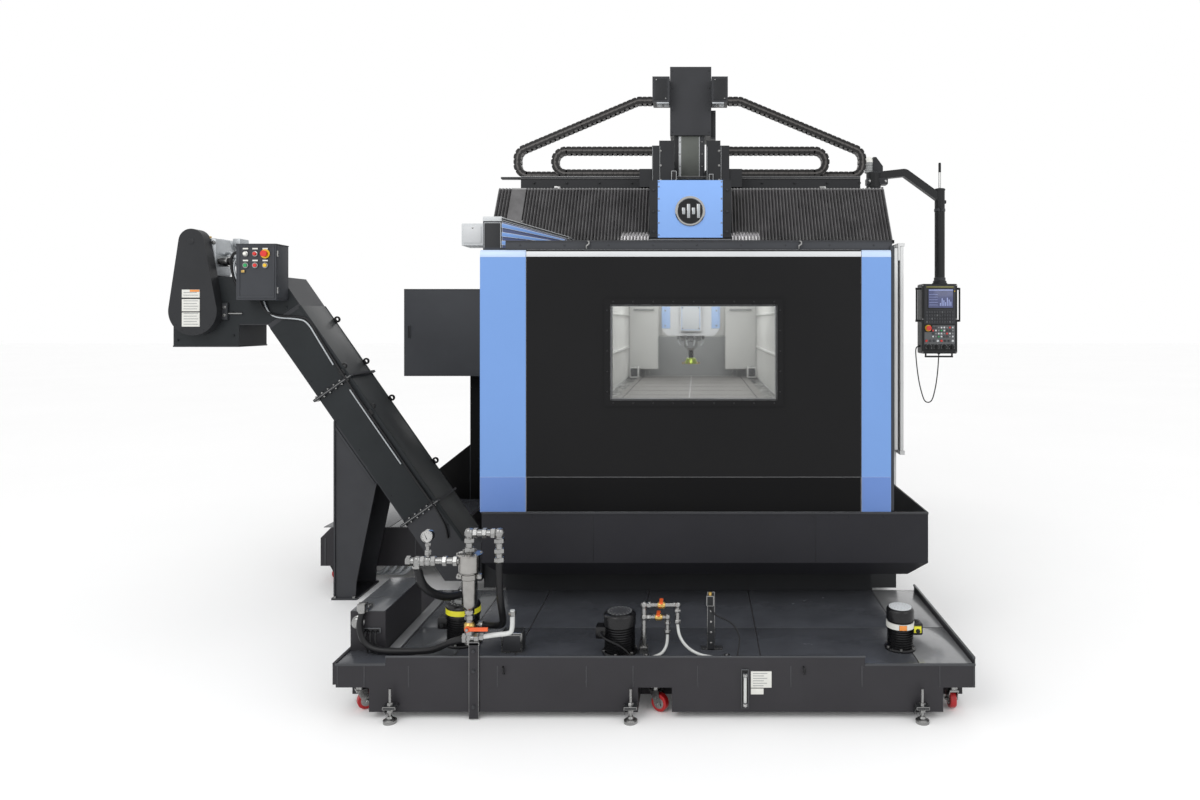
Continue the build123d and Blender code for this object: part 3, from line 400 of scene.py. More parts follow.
ROUTES = {
    "suction_hose": (15, 0.665, RUBBER, [
        (-1560, 130, 432), (-1572, 126, 389), (-1567, 121, 344), (-1547, 114, 304),
        (-1513, 107, 278), (-1462, 101, 267), (-1385, 96, 266), (-1290, 92, 266),
        (-1210, 78, 279), (-1150, 52, 313), (-1108, 32, 340), (-1060, 20, 354)]),
    "filter_hose": (16, 0.543, RUBBER, [
        (-894, 20, 700), (-894, 20, 620), (-894, 35, 530), (-896, 80, 450),
        (-905, 140, 385), (-930, 195, 348), (-972, 235, 333), (-1030, 250, 330)]),
    "manifold_hose": (19, 0.358, RUBBER, [
        (-1265, 20, 672), (-1257, 30, 612), (-1235, 66, 556), (-1200, 120, 514),
        (-1160, 178, 488), (-1127, 240, 483)]),
    "left_valve_hose": (7, 0.165, CLEAR_HOSE, [
        (-137, 120, 338), (-137, 118, 312), (-142, 110, 283), (-158, 90, 262),
        (-182, 65, 257.5), (-215, 42, 257.5)]),
    "right_valve_hose": (7, 0.298, CLEAR_HOSE, [
        (-90, 120, 385), (-88, 118, 350), (-72, 108, 312), (-40, 92, 280),
        (5, 72, 262), (60, 52, 257.5), (120, 40, 257.5)]),
    "sensor_cable": (3.5, 0.284, RUBBER, [
        (62, 150, 455), (65, 149, 438), (80, 147, 420), (105, 142, 406), (140, 136, 395),
        (172, 128, 375), (192, 118, 345), (198, 106, 312), (192, 92, 280), (186, 78, 254)]),
    "pump_cable": (4, 0.212, RUBBER, [
        (-446, 106, 350), (-443, 84, 346), (-425, 64, 338), (-395, 52, 328), (-360, 48, 314),
        (-328, 46, 293), (-306, 45, 268), (-294, 45, 254)]),
    "pendant_cord": (4.5, 0.941, RUBBER, [
        (1803, 2880, 1592), (1786, 2880, 1590), (1772, 2880, 1572), (1772, 2880, 1530),
        (1779, 2880, 1450), (1788, 2880, 1370), (1801, 2880, 1290), (1817, 2880, 1225),
        (1834, 2880, 1168), (1849, 2880, 1143), (1872, 2880, 1134), (1895, 2880, 1143),
        (1910, 2880, 1168), (1925, 2880, 1225), (1938, 2880, 1290), (1948, 2880, 1370),
        (1955, 2880, 1450), (1959, 2880, 1533)]),
}
for cord_name, (radius, length, surface, points) in ROUTES.items():
    body = "pendant" if cord_name == "pendant_cord" else "machine"
    route(cord_name + "_line", points, radius, surface, body)

# ---- bridge: bellows and chains

BRIDGE_X = (-1358, 1281)
SADDLE_X = (-308, 222)
BELLOWS_Y, BELLOWS_Z = 1600, (2320, 2700)
BELLOWS_LEAN = 250 / 380
PLEAT_PITCH, PLEAT_DEPTH, BELLOWS_BACK = 22, 32, 38
# Height of the pale band painted on the pleats' tops as a painted highlight.
PAINTED_HIGHLIGHT_BAND = 9
STIFFENER_X = (-1270, -1172)
LINK_PITCH, LINK_HEIGHT = 36, 54
LOW_RUN_Z = 2842
LOOP_REACH = 82


def bellows(side, outer_x, inner_x):
    """Pleated guard, flat where a plate stiffens it."""
    piece = Piece(f"{side}_bellows", None)
    count = round(abs(inner_x - outer_x) / PLEAT_PITCH)
    pitch = (inner_x - outer_x) / count
    outline = [(outer_x, PLEAT_DEPTH)]
    for i in range(count):
        x = outer_x + i * pitch
        if STIFFENER_X[0] < x < STIFFENER_X[1]:
            outline += [(x + 0.1 * pitch, 5), (x + 0.9 * pitch, 5)]
        else:
            outline += [(x + 0.06 * pitch, PLEAT_DEPTH), (x + 0.5 * pitch, 1),
                        (x + 0.62 * pitch, 1)]
    outline += [(inner_x, PLEAT_DEPTH), (inner_x, BELLOWS_BACK), (outer_x, BELLOWS_BACK)]
    rings = []
    for z in (BELLOWS_Z[0], BELLOWS_Z[1] - PAINTED_HIGHLIGHT_BAND, BELLOWS_Z[1]):
        front = BELLOWS_Y + (z - BELLOWS_Z[0]) * BELLOWS_LEAN
        rings.append([at(x, front + depth, z) for x, depth in outline])
    made = piece._loft(rings, BELLOWS)
    # The top band of the pleats is painted pale grey: a painted highlight where the crests catch
    # the light.
    piece._paint(made[len(outline):2 * len(outline)], PALE_STRIP_AND_PAINTED_HIGHLIGHT)
    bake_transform(piece.make("bridge_bellows", angle=20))


def rounded_path(corners, radius):
    """Straight runs joined by arcs, as closely spaced points."""
    line = [Vector(corners[0])]
    for before, here, after in zip(corners, corners[1:], corners[2:]):
        here = Vector(here)
        entry = (Vector(before) - here).normalized()
        leave = (Vector(after) - here).normalized()
        half = entry.angle(leave) / 2
        reach = radius / tan(half)
        centre = here + (entry + leave).normalized() * radius / sin(half)
        first, last = here + entry * reach - centre, here + leave * reach - centre
        line += [centre + first.lerp(last, i / 12).normalized() * radius for i in range(13)]
    return line + [Vector(corners[-1])]


def spaced(line, pitch):
    """Place and heading of each equal step along a line."""
    total = sum((b - a).length for a, b in zip(line, line[1:]))
    step = total / round(total / pitch)
    places, wanted, walked = [], step / 2, 0
    for a, b in zip(line, line[1:]):
        run = (b - a).length
        while wanted <= walked + run and run > 0:
            places.append((a.lerp(b, (wanted - walked) / run), (b - a).normalized()))
            wanted += step
        walked += run
    return places


def chain_link(piece, place, heading, y, odd):
    """Two side plates, a bar above and below and the pin ends of one link."""
    normal = Vector((-heading.y, heading.x))

    def shape(points):
        spots = [place + heading * a * LINK_PITCH + normal * b * LINK_HEIGHT for a, b in points]
        return [(spot.x, spot.y) for spot in spots]

    inset = 3.5 if odd else 0
    plate = shape([(-0.66, -0.2), (-0.45, -0.47), (0.45, -0.47), (0.66, -0.2), (0.66, 0.2),
                   (0.45, 0.47), (-0.45, 0.47), (-0.66, 0.2)])
    for near in (y[0] + inset, y[1] - 4 - inset):
        piece.prism(plate, (near, near + 4), CHAIN, bevel=0)
    for low, high in ((0.42, 0.5), (-0.5, -0.42)):
        bar = shape([(-0.3, low), (0.3, low), (0.3, high), (-0.3, high)])
        piece.prism(bar, (y[0] + 1, y[1] - 1), LINK_BAR, bevel=0)
    web = shape([(-0.34, -0.12), (0.34, -0.12), (0.34, 0.12), (-0.34, 0.12)])
    piece.prism(web, (y[0] - 1 + inset, y[0] + 2 + inset), LINK_BAR, bevel=0)
    pin = place + heading * 0.5 * LINK_PITCH
    piece.turned((pin.x, y[0] - 2, pin.y), BACK, [(6, 0), (7, 1), (7, 5)], LINK_BAR, 10)


def chain_run(name, links, y, start_x, end_x):
    piece = Piece(name, None)
    for number, (place, heading) in enumerate(links):
        chain_link(piece, place, heading, y, number % 2)
    made = piece.make("cable_chains", angle=30)
    if start_x == end_x:
        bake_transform(made)
    else:
        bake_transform(made)


def chain(name, path, radius, y, end_x, loop_x, knee_x=None):
    """Links in runs: on the shelf, around the loop, and back to what the chain feeds."""
    toward = 1 if loop_x > end_x else -1
    loop_from = loop_x - toward * LOOP_REACH
    links = spaced(rounded_path(path, radius), LINK_PITCH)
    looped = [link for link in links if (link[0].x - loop_from) * toward > 0]
    inner = [link for link in links if link not in looped]
    lower = [link for link in inner if link[0].y < LOW_RUN_Z + 20]
    upper = [link for link in inner if link[0].y >= LOW_RUN_Z + 20]
    chain_run(f"{name}_lower", lower, y, end_x, 2 * loop_from - end_x)
    chain_run(f"{name}_loop", looped, y, 0, 0)
    if knee_x is None:
        chain_run(f"{name}_upper", upper, y, 2 * loop_from - end_x, end_x)
        return
    middle = (loop_from + knee_x) / 2
    slope = [link for link in upper if (link[0].x - middle) * toward > 0]
    rise = [link for link in upper if link not in slope]
    chain_run(f"{name}_slope", slope, y, 2 * loop_from - middle, middle)
    chain_run(f"{name}_rise", rise, y, middle, knee_x)


# Pale grey: the pleats' painted highlight band, and the strip along the bellows' foot.
PALE_STRIP_AND_PAINTED_HIGHLIGHT = material("pale_strip_and_painted_highlight", (150, 150, 150), 0.4, vary=0.1, patch=0.05, bump=0.1)
LINK_BAR = material("chain_bar", (74, 71, 69), 0.4, patch=0.05, vary=0.15, bump=0.2)
bellows("left", BRIDGE_X[0], SADDLE_X[0] - 1)
bellows("right", BRIDGE_X[1], SADDLE_X[1] + 1)
for side, end, loop in (("left", SADDLE_X[0], -1007), ("right", SADDLE_X[1], 913)):
    chain(f"{side}_inner_chain", [(end, LOW_RUN_Z), (loop, LOW_RUN_Z), (loop, 3003), (end, 3003)],
          78, (2065, 2130), end, loop)
for side, end, loop, knee in (("left", -321, -1292, -426), ("right", 223, 1191, 313)):
    chain(f"{side}_outer_chain", [(end, LOW_RUN_Z), (loop, LOW_RUN_Z), (loop, 3013),
                                  (knee, 3380), (end, 3380)], 80, (2148, 2212), end, loop, knee)

fittings = Piece("bridge_fittings", "bridge")
for x in (-985, 885):
    fittings.boxes(
        ((x - 20, x + 22), (2036, 2055), (2728, 2744), STEEL),
        ((x + 4, x + 24), (2030, 2050), (2716, 2736), STEEL))
fittings.box((-1245, 1155), (2046, 2056), (2800, 2816), CASING)
fittings.bolts(range(-1150, 1200, 230), 2055, [2770], 14, COVER)
fittings.box(BRIDGE_X, (1592, BELLOWS_Y), (2306, 2319), PALE_STRIP_AND_PAINTED_HIGHLIGHT, 1)
fittings.tube([(-1134, 1600, 2440), (-1134, 1585, 2446), (-1134, 1580, 2432), (-1134, 1590, 2420)],
              4, STEEL)
fittings.make()

# ---- saddle, ram and spindle

SPINDLE = (-45, 2400)

badge = Piece("round_badge", "saddle")
face = (-44, 1572, 2504)
badge.turned(face, TOWARD, [(97, 0), (97, 5), (92, 9), (84, 9), (80, 5), (80, 3)], CHROME, 64)
badge.turned(face, TOWARD, [(81, 0), (81, 4)], BLACK_PLASTIC, 64)
for x, low, high in ((-86, -22, 22), (-54, -46, 46), (-22, -22, 22), (10, -46, 46)):
    badge.box((x - 10, x + 10), (1565, 1570), (2504 + low, 2504 + high), ALLOY, 2)
badge.make()

trim = Piece("saddle_trim", "saddle")
trim.box(SADDLE_X, (1583, 1640), (2703, 2706), PALE_GREY, 0.8)
trim.screws((-246, 159), 1572, (2350, 2428, 2506, 2584, 2662, 2694), 5)
trim.bolts((-281, 195), 1570, (2370, 2500, 2640), 13, CASING)
for left in (SADDLE_X[0], -259, 65, 161):
    trim.box((left + 3, left + 6), (1881, 1886), (2712, 2990), CASING, 0.8)
trim.bolts((-250, 152), 1885, (2760, 2860, 2960), 12, STEEL)
trim.boxes(
    ((-176, -140), (1872, 1886), (2752, 2822), BLACK_METAL, 3),
    ((82, 112), (1872, 1886), (2740, 2800), BLACK_METAL, 3))
trim.tube([(-142, 1880, 2730), (-150, 1868, 2746), (-142, 1864, 2764), (-132, 1880, 2770)],
          3.5, STEEL)
trim.tube([(84, 1880, 2716), (76, 1868, 2736), (86, 1864, 2756), (94, 1880, 2760)], 3.5, STEEL)
trim.make()

ram_face = Piece("ram_face", "ram")
for x, surface, rise in (((-167, -134), COVER, 0.5), ((-134, -116), PALE_GREY, 0.8),
                         ((-116, 15), CAST, 0.6), ((15, 19), PALE_GREY, 0.8),
                         ((19, 56), CASING, 0.5)):
    ram_face.box(x, (2277 - rise, 2279), (1914, 3150), surface, 0.2)
ram_face.screws((-125, 38), 2276.4, range(2030, 3140, 90), 5, STEEL)
ram_face.make()

hood = Piece("ram_hood_trim", "ram")
hood.screws((-180, 88), 2262, (3180, 3340, 3500, 3630), 6, CASING)
hood.boxes(
    ((-197, 105), (2257, 2264), (3154, 3162), CASING, 1),
    ((-185, 93), (2280, 2540), (3655, 3661), CASING, 2))
for low, high in ((-291, -200), (108, 196)):
    hood.box((low, high), (2144, 2236), (3354, 3367), ALLOY, 2)
    hood.bolt(((low + high) / 2, 2190, 3354), DOWN, 16)
for x in (-258, 164):
    hood.box((x - 46, x + 46), (2141, 2148), (3382, 3536), COVER, 3)
    hood.screw((x - 34, 2141, 3526), TOWARD, 5, STEEL)
    hood.screw((x + 34, 2141, 3392), TOWARD, 5, STEEL)
hood.box((108, 134), (2284, 2292), (3150, 3330), COVER, 2)
hood.make()

SKY = material("pale_blue_paint", (168, 196, 236), 0.35, vary=0.03, patch=0.4)
head = Piece("spindle_covers", "ram")
for low, high in ((-258, -196), (106, 168)):
    head.box((low, high), (2250, 2262), (1740, 1996), SKY, 5)
head.boxes(
    ((-190, 100), (2249, 2257), (1916, 1994), PALE_GREY, 3),
    ((-112, 23), (2199, 2207), (1728, 1902), PALE_GREY, 6))
head.screws((-104, 15), 2199, (1740, 1890), 6, GREY)
head.screws((-232, 142), 2250, (1760, 1870, 1976), 6, GREY)
head.turned((*SPINDLE, 1686), DOWN, [(84, -4), (84, 12), (76, 18), (76, 34), (60, 40),
                                     (50, 44), (50, 80), (44, 92)], GREY, 48)
for spot in around(*SPINDLE, 66, 8):
    head.bolt((*spot, 1652), DOWN, 11, STEEL)
for turn in (0.4, 1.3, 1.9, 2.8):
    x, y = SPINDLE[0] + 100 * cos(turn), SPINDLE[1] - 100 * sin(turn)
    head.rod((x, y, 1690), DOWN, 34, 9, STEEL)
    inward_x = x + (SPINDLE[0] - x) * 0.2
    head.tube([(x, y, 1660), (x, y, 1636), (inward_x, y + 10, 1612)], 6, PALE_GREY)
head.make()

MILL = material("mill_body", (150, 168, 52), 0.32, 0.6, vary=0.1, patch=0.03, bump=0.1)
mill = Piece("face_mill", "spindle")
mill.turned((*SPINDLE, 1594.5), DOWN, [(24, 0), (32, 1), (32, 5), (27, 6), (27, 9),
                                       (32, 10), (32, 14), (22, 18)], GROUND, 36)
mill.turned((*SPINDLE, 1580), DOWN, [(18, -6), (18, 58), (24, 60), (24, 66)], BLACK_METAL, 32)
mill.turned((*SPINDLE, 1520), DOWN, [(26, 0), (34, 4), (45, 30), (46, 44), (38, 48)],
            MILL, 40)
for turn in range(0, 360, 60):
    before = len(mill.mesh.verts)
    mill.box((-3, 6), (2361, 2353), (1471, 1490), BRASS, 1)
    mill.turn(turn, (*SPINDLE, 1480), before)
mill.make("milling_tool")

# ---- front enclosure and chamber

# Top of the painted shade band across the foot of the front panel and the pillars.
SHADE_BAND_TOP_Z = 950
# Pale grey: a real pale plate on the left post, and the painted highlight along the front panel's
# top edge.
PALE_PLATE_AND_PAINTED_HIGHLIGHT = material("pale_plate_and_painted_highlight", (202, 204, 206), 0.35, vary=0.04, patch=0.5, bump=0.05)
# Near-black paint: the painted shade band on the front panel, and the dark block under the cabinet.
BLACK_PAINT_AND_PAINTED_SHADE = material("black_paint_and_painted_shade", (15, 15, 16), 0.4, specular=0.08, patch=0.7, vary=0.08)
# Darker copy of the pillar blue: painted shade on the pillars' feet.
PILLAR_BLUE_PAINTED_SHADE = material("pillar_blue_painted_shade", (93, 127, 190), 0.4, vary=0.03, patch=0.8)
# Lighter copy of the pillar blue: painted highlight.
PILLAR_BLUE_PAINTED_HIGHLIGHT = material("pillar_blue_painted_highlight", (184, 204, 232), 0.35, vary=0.03, patch=0.5, bump=0.05)
LINER = material("liner_white", (222, 222, 219), 0.45, vary=0.03, patch=0.5, bump=0.08)

front = Piece("front_trim")
# Light grey rounded strip along the top of the black front panel: a painted highlight where the
# sheet's rounded top edge catches the light.
front.prism([(718.5, 2140), (718.5, 2164), (722, 2174), (731, 2178), (761, 2178), (761, 2172),
             (731, 2172), (726, 2140)], (-922, 887), PALE_PLATE_AND_PAINTED_HIGHLIGHT, "yz", 0.5)
# Pale blue strips along the pillars' rounded tops: painted highlight, a lighter copy of the pillar
# blue.
for low, high in ((-1172, -925), (890, 1048)):
    front.prism([(718.8, 2138), (718.8, 2156), (723, 2168), (733, 2176), (745, 2178), (745, 2170),
                 (733, 2166), (724, 2138)], (low, high), PILLAR_BLUE_PAINTED_HIGHLIGHT, "yz", 0.5)
# Darker band along the foot of the front panel, up to the band's top height: painted shade, a
# near-black sheet laid where the panel is only in shade.
front.box((-921, 886), (718.8, 722), (762, SHADE_BAND_TOP_Z), BLACK_PAINT_AND_PAINTED_SHADE, 0.6)
# The same painted shade band on the pillars' feet, in a darker blue.
for low, high in ((-1171, -925), (890, 1047)):
    front.box((low, high), (718.8, 722), (762, SHADE_BAND_TOP_Z), PILLAR_BLUE_PAINTED_SHADE, 0.6)
for x in (-923, 888):
    front.box((x - 1.5, x + 1.5), (719.2, 722), (762, 2150), BLACK_PLASTIC, 0.3)
front.screws((-452, -344, -236, -128, -18, 92, 200, 308, 417), 712, (1349, 1896), 6, BLACK_METAL)
front.screws((-484, 449), 712, (1410, 1520, 1630, 1740, 1850), 6, BLACK_METAL)
for x in (-467, 424):
    front.box((x, x + 8), (714, 758), (1366, 1879), RUBBER, 1)
for z in (1366, 1871):
    front.box((-467, 432), (714, 758), (z, z + 8), RUBBER, 1)
front.make()

HEADER_X = (-1039, 1059)
header = Piece("header_rail")
header.boxes(
    (HEADER_X, (741, 802), (2222, 2230), CASING, 2),
    (HEADER_X, (743, 750), (2180, 2186), CASING, 1))
for x in (-594, 557):
    header.tube([(x, 745, 2226), (x + 10, 735, 2222), (x + 8, 730, 2206), (x - 6, 730, 2200),
                 (x - 4, 738, 2184)], 4.5, STEEL)
header.screws(range(-960, 1000, 240), 745, [2204], 5, CASING)
header.make()

post = Piece("left_post_trim")
post.boxes(
    ((-1299, -1181), (1248, 1402), (2398, 2427), PALE_GREY, 4),
    ((-1292, -1188), (1246, 1252), (1410, 2390), COVER, 3))
# Ribbed blue cover seen at a grazing angle: the plate between the ribs is painted dark blue as
# painted shade, and the ribs in the lighter pillar blue stand for their highlights.
post.prism([(-1181, 2396), (-1181, 2212), (-790, 2212), (-790, 2292)], (1246, 1254), BLUE_COVER_PAINTED_SHADE)
for left_z, right_z in ((2372, 2282), (2318, 2262), (2266, 2240)):
    post.prism([(-1181, left_z - 14), (-800, right_z - 5), (-800, right_z + 5),
                (-1181, left_z + 14)], (1236, 1248), BLUE)
post.prism([(-1184, 2404), (-774, 2288), (-774, 2303), (-1184, 2421)], (1240, 1563), COVER)
post.boxes(
    ((-1566, -1416), (1717, 1902), (2295, 2443), PALE_GREY, 6),
    ((-1548, -1434), (1712, 1718), (2312, 2426), PALE_PLATE_AND_PAINTED_HIGHLIGHT, 4))
post.screw((-1490, 1712, 2412), TOWARD, 6)
post.make()

cabinet = Piece("cabinet_door")
cabinet.boxes(
    ((-2260, -1395), (2594, 2602), (1378, 2033), CABINET, 5),
    ((-2240, -2216), (2588, 2596), (1660, 1760), BLACK_PLASTIC, 4))
for z in (1460, 1950):
    cabinet.rod((-1402, 2592, z - 30), UP, 60, 8, BLACK_METAL)
cabinet.boxes(
    ((-1386, 1296), (1593, 1602), (330, 342), COVER, 2),
    ((-1386, 1296), (1593, 1602), (210, 222), COVER, 2),
    ((-1842, -1386), (2896, 2994), (2, 1366), BLACK_PAINT_AND_PAINTED_SHADE, 3))
cabinet.prism([(-2106, 2), (-1842, 2), (-1842, 793), (-2106, 586)], (2896, 2994), BLACK_PAINT_AND_PAINTED_SHADE)
cabinet.box((1256, 1284), (1502, 1598), (968, 2262), WHITE, 4)
cabinet.make()

pan_trim = Piece("pan_trim")
pan_trim.box((-1163, 1249), (711, 722), (750, 762), CASING, 3)
for low, high in ((-1163, -1153), (1239, 1249)):
    pan_trim.box((low, high), (712, 1600), (750, 762), CASING, 3)
for x in (-560, 640):
    pan_trim.box((x - 1, x + 1), (713.6, 716), (490, 752), BLACK_PLASTIC, 0.3)
pan_trim.screws(range(-1080, 1200, 190), 715, [738], 5, PAN)
pan_trim.make()

CHAMBER_Y, CHAMBER_FLOOR_Z = (1604, 4862), 1216
liner = Piece("chamber_liner")
for wall_x, inward in ((-725, 1), (635, -1)):
    sheet = sorted((wall_x - inward, wall_x + 4 * inward))
    liner.box(sheet, CHAMBER_Y, (CHAMBER_FLOOR_Z, 2150), LINER, 1)
    rib = sorted((wall_x, wall_x + 20 * inward))
    for y in range(1700, 4860, 158):
        liner.box(rib, (y, y + 22), (1218, 2140), LINER, 3)
    for z in (1520, 1850, 2110):
        liner.box(sorted((wall_x, wall_x + 26 * inward)), CHAMBER_Y, (z, z + 18), LINER, 3)
    table_x = -612 if inward > 0 else 522
    cover_x = sorted((wall_x, table_x))
    for number, y in enumerate(range(1304, 4850, 296)):
        liner.box(cover_x, (y, y + 292), (1168, 1196 + 3 * (number % 2)), STEEL, 3)
# The two wide black strips stand for the table's T-slots: painted shade in place of the slots'
# depth.
for x, width in ((-565, 10), (448, 10), (-60, 5)):
    surface = BLACK_METAL if width > 5 else PALE_GREY
    liner.box((x, x + width), (1302, 4858), (1213, 1216.5), surface, 0.5)
for low, high in ((-700, -402), (294, 610)):
    liner.boxes(
        ((low, high), (4700, 4730), (1300, 2160), LINER, 6),
        ((low + 40, high - 40), (4690, 4704), (1900, 1925), GREY, 3))
for x in (-640, 560):
    liner.box((x - 50, x + 50), (4560, 4690), (CHAMBER_FLOOR_Z, 1330), CASING, 14)
liner.box((-548, 423), (4858, 4868), (CHAMBER_FLOOR_Z, 1636), GREY, 3)
for x in (-500, 376):
    liner.box((x - 3, x + 3), (4852, 4860), (1222, 1630), CASING, 2)
liner.box((-722, 632), (4950, 4962), (1640, 2170), LINER, 2)
for x in range(-640, 620, 130):
    liner.box((x, x + 20), (4940, 4952), (1644, 2160), LINER, 3)
liner.make()

# ---- chip conveyor

INCLINE = Vector((-1071, 1534)).normalized()
ACROSS = Vector((INCLINE.y, -INCLINE.x))
TOP_EDGE = Vector((-1487, 369))
TOP_PAINT = material("conveyor_top_paint", (60, 62, 63), 0.36, specular=0.3, patch=0.3,
                     bump=0.2)
SIDE = material("conveyor_side_paint", (40, 43, 45), 0.4, specular=0.16, patch=0.3, bump=0.2)
BAND_ORANGE = material("plate_orange", (226, 140, 60), 0.45, vary=0.05, patch=0.03)


def incline(along, across):
    """A point by its distance up the incline and out from its top edge."""
    spot = TOP_EDGE + INCLINE * along + ACROSS * across
    return (spot.x, spot.y)


def strip(piece, along, across, y, surface, bevel=2.0):
    corners = [incline(along[0], across[0]), incline(along[1], across[0]),
               incline(along[1], across[1]), incline(along[0], across[1])]
    piece.prism(corners, y, surface, bevel=bevel)


casing = Piece("conveyor_trim")
strip(casing, (340, 1286), (-246, -8), (1547, 1552), SIDE)
strip(casing, (1320, 1850), (-246, -8), (1547, 1552), SIDE)
strip(casing, (20, 1860), (-6, 3), (1546, 1889), TOP_PAINT)
strip(casing, (20, 1860), (-16, 5), (1543, 1553), SIDE, 3)
strip(casing, (20, 1860), (-16, 5), (1882, 1891), SIDE, 3)
for centre in (1303, 324):
    strip(casing, (centre - 9, centre + 9), (-272, 12), (1532, 1556), CASING, 2)
    strip(casing, (centre - 2, centre + 2), (-272, 12), (1530, 1534), STEEL, 0.8)
    for number in range(6):
        for face in (-1, 1):
            x, z = incline(centre + face * 10, -252 + 46 * number)
            casing.bolt((x, 1541, z), (face * INCLINE.x, 0, face * INCLINE.y), 12)
for along in (1734, 1387, 1082, 560):
    x, z = incline(along, 24)
    casing.prism([incline(along - 20, 0), incline(along + 20, 0), incline(along + 14, 20),
                  incline(along - 14, 20)], (1866, 1876), BLACK_METAL, bevel=1)
    casing.ring((x, 1865, z), BACK, 10, 22, 12, BLACK_METAL)
for along in (1380, 1063):
    x, z = incline(along, 8)
    casing.ring((x, 1544, z), BACK, 9, 19, 12, BLACK_METAL)
    strip(casing, (along - 46, along - 8), (-44, -4), (1536, 1549), BLACK_METAL, 4)
for along in (160, 520, 880, 1120, 1420, 1700):
    for across in (-30, -224):
        x, z = incline(along, across)
        casing.screw((x, 1547, z), TOWARD, 5, SIDE)
casing.prism([(-2337, 1150), (-2325, 1150), (-2325, 20), (-2337, 20)], (1542, 1552), CASING)
casing.prism([(-2325, 1118), (-2068, 752), (-2082, 742), (-2325, 1090)], (1543, 1551), CASING)
for x in (-2328, -2206):
    casing.bolt((x, 1545, 12), UP, 16)
casing.make()

conduits = Piece("conveyor_conduits")
conduits.tube([(-2800, 1520, 1930), (-2780, 1524, 1880), (-2740, 1530, 1836), (-2640, 1538, 1822),
               (-2540, 1540, 1822), (-2484, 1538, 1796), (-2420, 1538, 1676),
               (-2311, 1538, 1508), (-2222, 1526, 1378), (-2180, 1526, 1310),
               (-2120, 1538, 1222), (-1884, 1538, 884), (-1712, 1538, 640), (-1650, 1524, 560),
               (-1606, 1530, 470), (-1600, 1540, 400)], 7, RUBBER)
conduits.tube([(-2776, 1530, 1920), (-2750, 1530, 1850), (-2700, 1532, 1814),
               (-2560, 1534, 1808), (-2500, 1534, 1788), (-2436, 1536, 1680),
               (-2334, 1536, 1512)], 5.5, ALLOY)
conduits.tube([(-2226, 1530, 1354), (-2140, 1536, 1222), (-1900, 1536, 876)], 5, ALLOY)
conduits.tube([(-2900, 1500, 2236), (-2960, 1510, 2230), (-2990, 1530, 2180),
               (-2970, 1530, 2060), (-2930, 1530, 1990), (-2890, 1530, 1960)], 9, RUBBER)
conduits.tube([(-2900, 1510, 2200), (-2950, 1520, 2196), (-2972, 1530, 2140),
               (-2950, 1530, 2050), (-2900, 1535, 1990)], 6, ALLOY)
conduits.tube([(-2950, 1560, 2180), (-3010, 1580, 2230), (-3060, 1620, 2240),
               (-3100, 1650, 2220)], 10, ALLOY)
for x in range(-2250, -2090, 52):
    conduits.tube([(x, 2020, 30), (x + 10, 1960, 44), (x + 90, 1915, 60), (x + 150, 1930, 150),
                   (x + 160, 1990, 260)], 15, ALLOY)
conduits.make()

head_trim = Piece("conveyor_head_trim")
head_trim.prism([(-3366, 1636), (-3366, 1957), (-3228, 2074), (-2684, 2074), (-2566, 1904),
                 (-2760, 1774), (-2946, 1774), (-2946, 1636)], (1547, 1552), SIDE)
head_trim.box((-3372, -2948), (1546, 1890), (1626, 1636), CASING, 2)
for x, z in ((-3340, 1670), (-3340, 1900), (-2980, 1700), (-2990, 1850), (-2700, 2040),
             (-2640, 1880)):
    head_trim.bolt((x, 1547, z), TOWARD, 12, SIDE)
head_trim.box((-3050, -3010), (1530, 1550), (1800, 1910), CASING, 4)
head_trim.bolt((-3030, 1530, 1880), TOWARD, 16)
head_trim.bolt((-3030, 1530, 1830), TOWARD, 16)
head_trim.rod((-3010, 1538, 1842), RIGHT, 90, 5, STEEL)
head_trim.make()

GUARD_Y = 1471
guard = Piece("guard_trim")
guard.turned((-3207, GUARD_Y, 2299), TOWARD, [(20, 0), (20, 3), (15, 5)], COVER, 28)
for low, high in ((1941, 1993), (1854, 1933), (1757, 1848)):
    guard.box((-3264, -3150), (1467.5, GUARD_Y), (low, high), PAPER, 0.8)
    for z in range(low + 14, high - 8, 17):
        guard.box((-3252, -3168 + 8 * (z % 2)), (1466.8, 1468), (z, z + 4), GREY, 0.2)
guard.box((-3212, -3152), (1466.6, 1469), (1978, 1991), BAND_ORANGE, 0.4)
for x, z in around(-3198, 1856, 138, 8, 200, 20):
    guard.screw((x, GUARD_Y, z), TOWARD, 5, COVER)
guard.make()

MOTOR_X, MOTOR_Z = -3195, 2258
drive = Piece("gear_motor_casting")
drive.box((-3288, -3098), (1554, 1736), (2082, 2330), ALLOY, 26)
drive.turned((MOTOR_X, 1736, MOTOR_Z), BACK, [(70, 0), (84, 8), (84, 24), (78, 26)], ALLOY, 40)
for y in range(1764, 1998, 26):
    drive.turned((MOTOR_X, y, MOTOR_Z), BACK, [(76, 0), (86, 2), (86, 10), (76, 12)], ALLOY, 40)
drive.turned((MOTOR_X, 1990, MOTOR_Z), BACK, [(80, 0), (88, 6), (88, 60), (80, 68), (30, 70)],
             ALLOY, 40)
drive.box((-3130, -3078), (1790, 1900), (2290, 2350), ALLOY, 8)
drive.rod((-3192, 1640, 2334), UP, 14, 12, BRASS)
drive.bolts((-3272, -3114), 1554, (2102, 2300), 18)
drive.rod((-3098, 1600, 2180), RIGHT, 60, 34, CHROME)
drive.rod((-3040, 1600, 2180), RIGHT, 12, 24, BLACK_METAL)
drive.make("gear_motor")

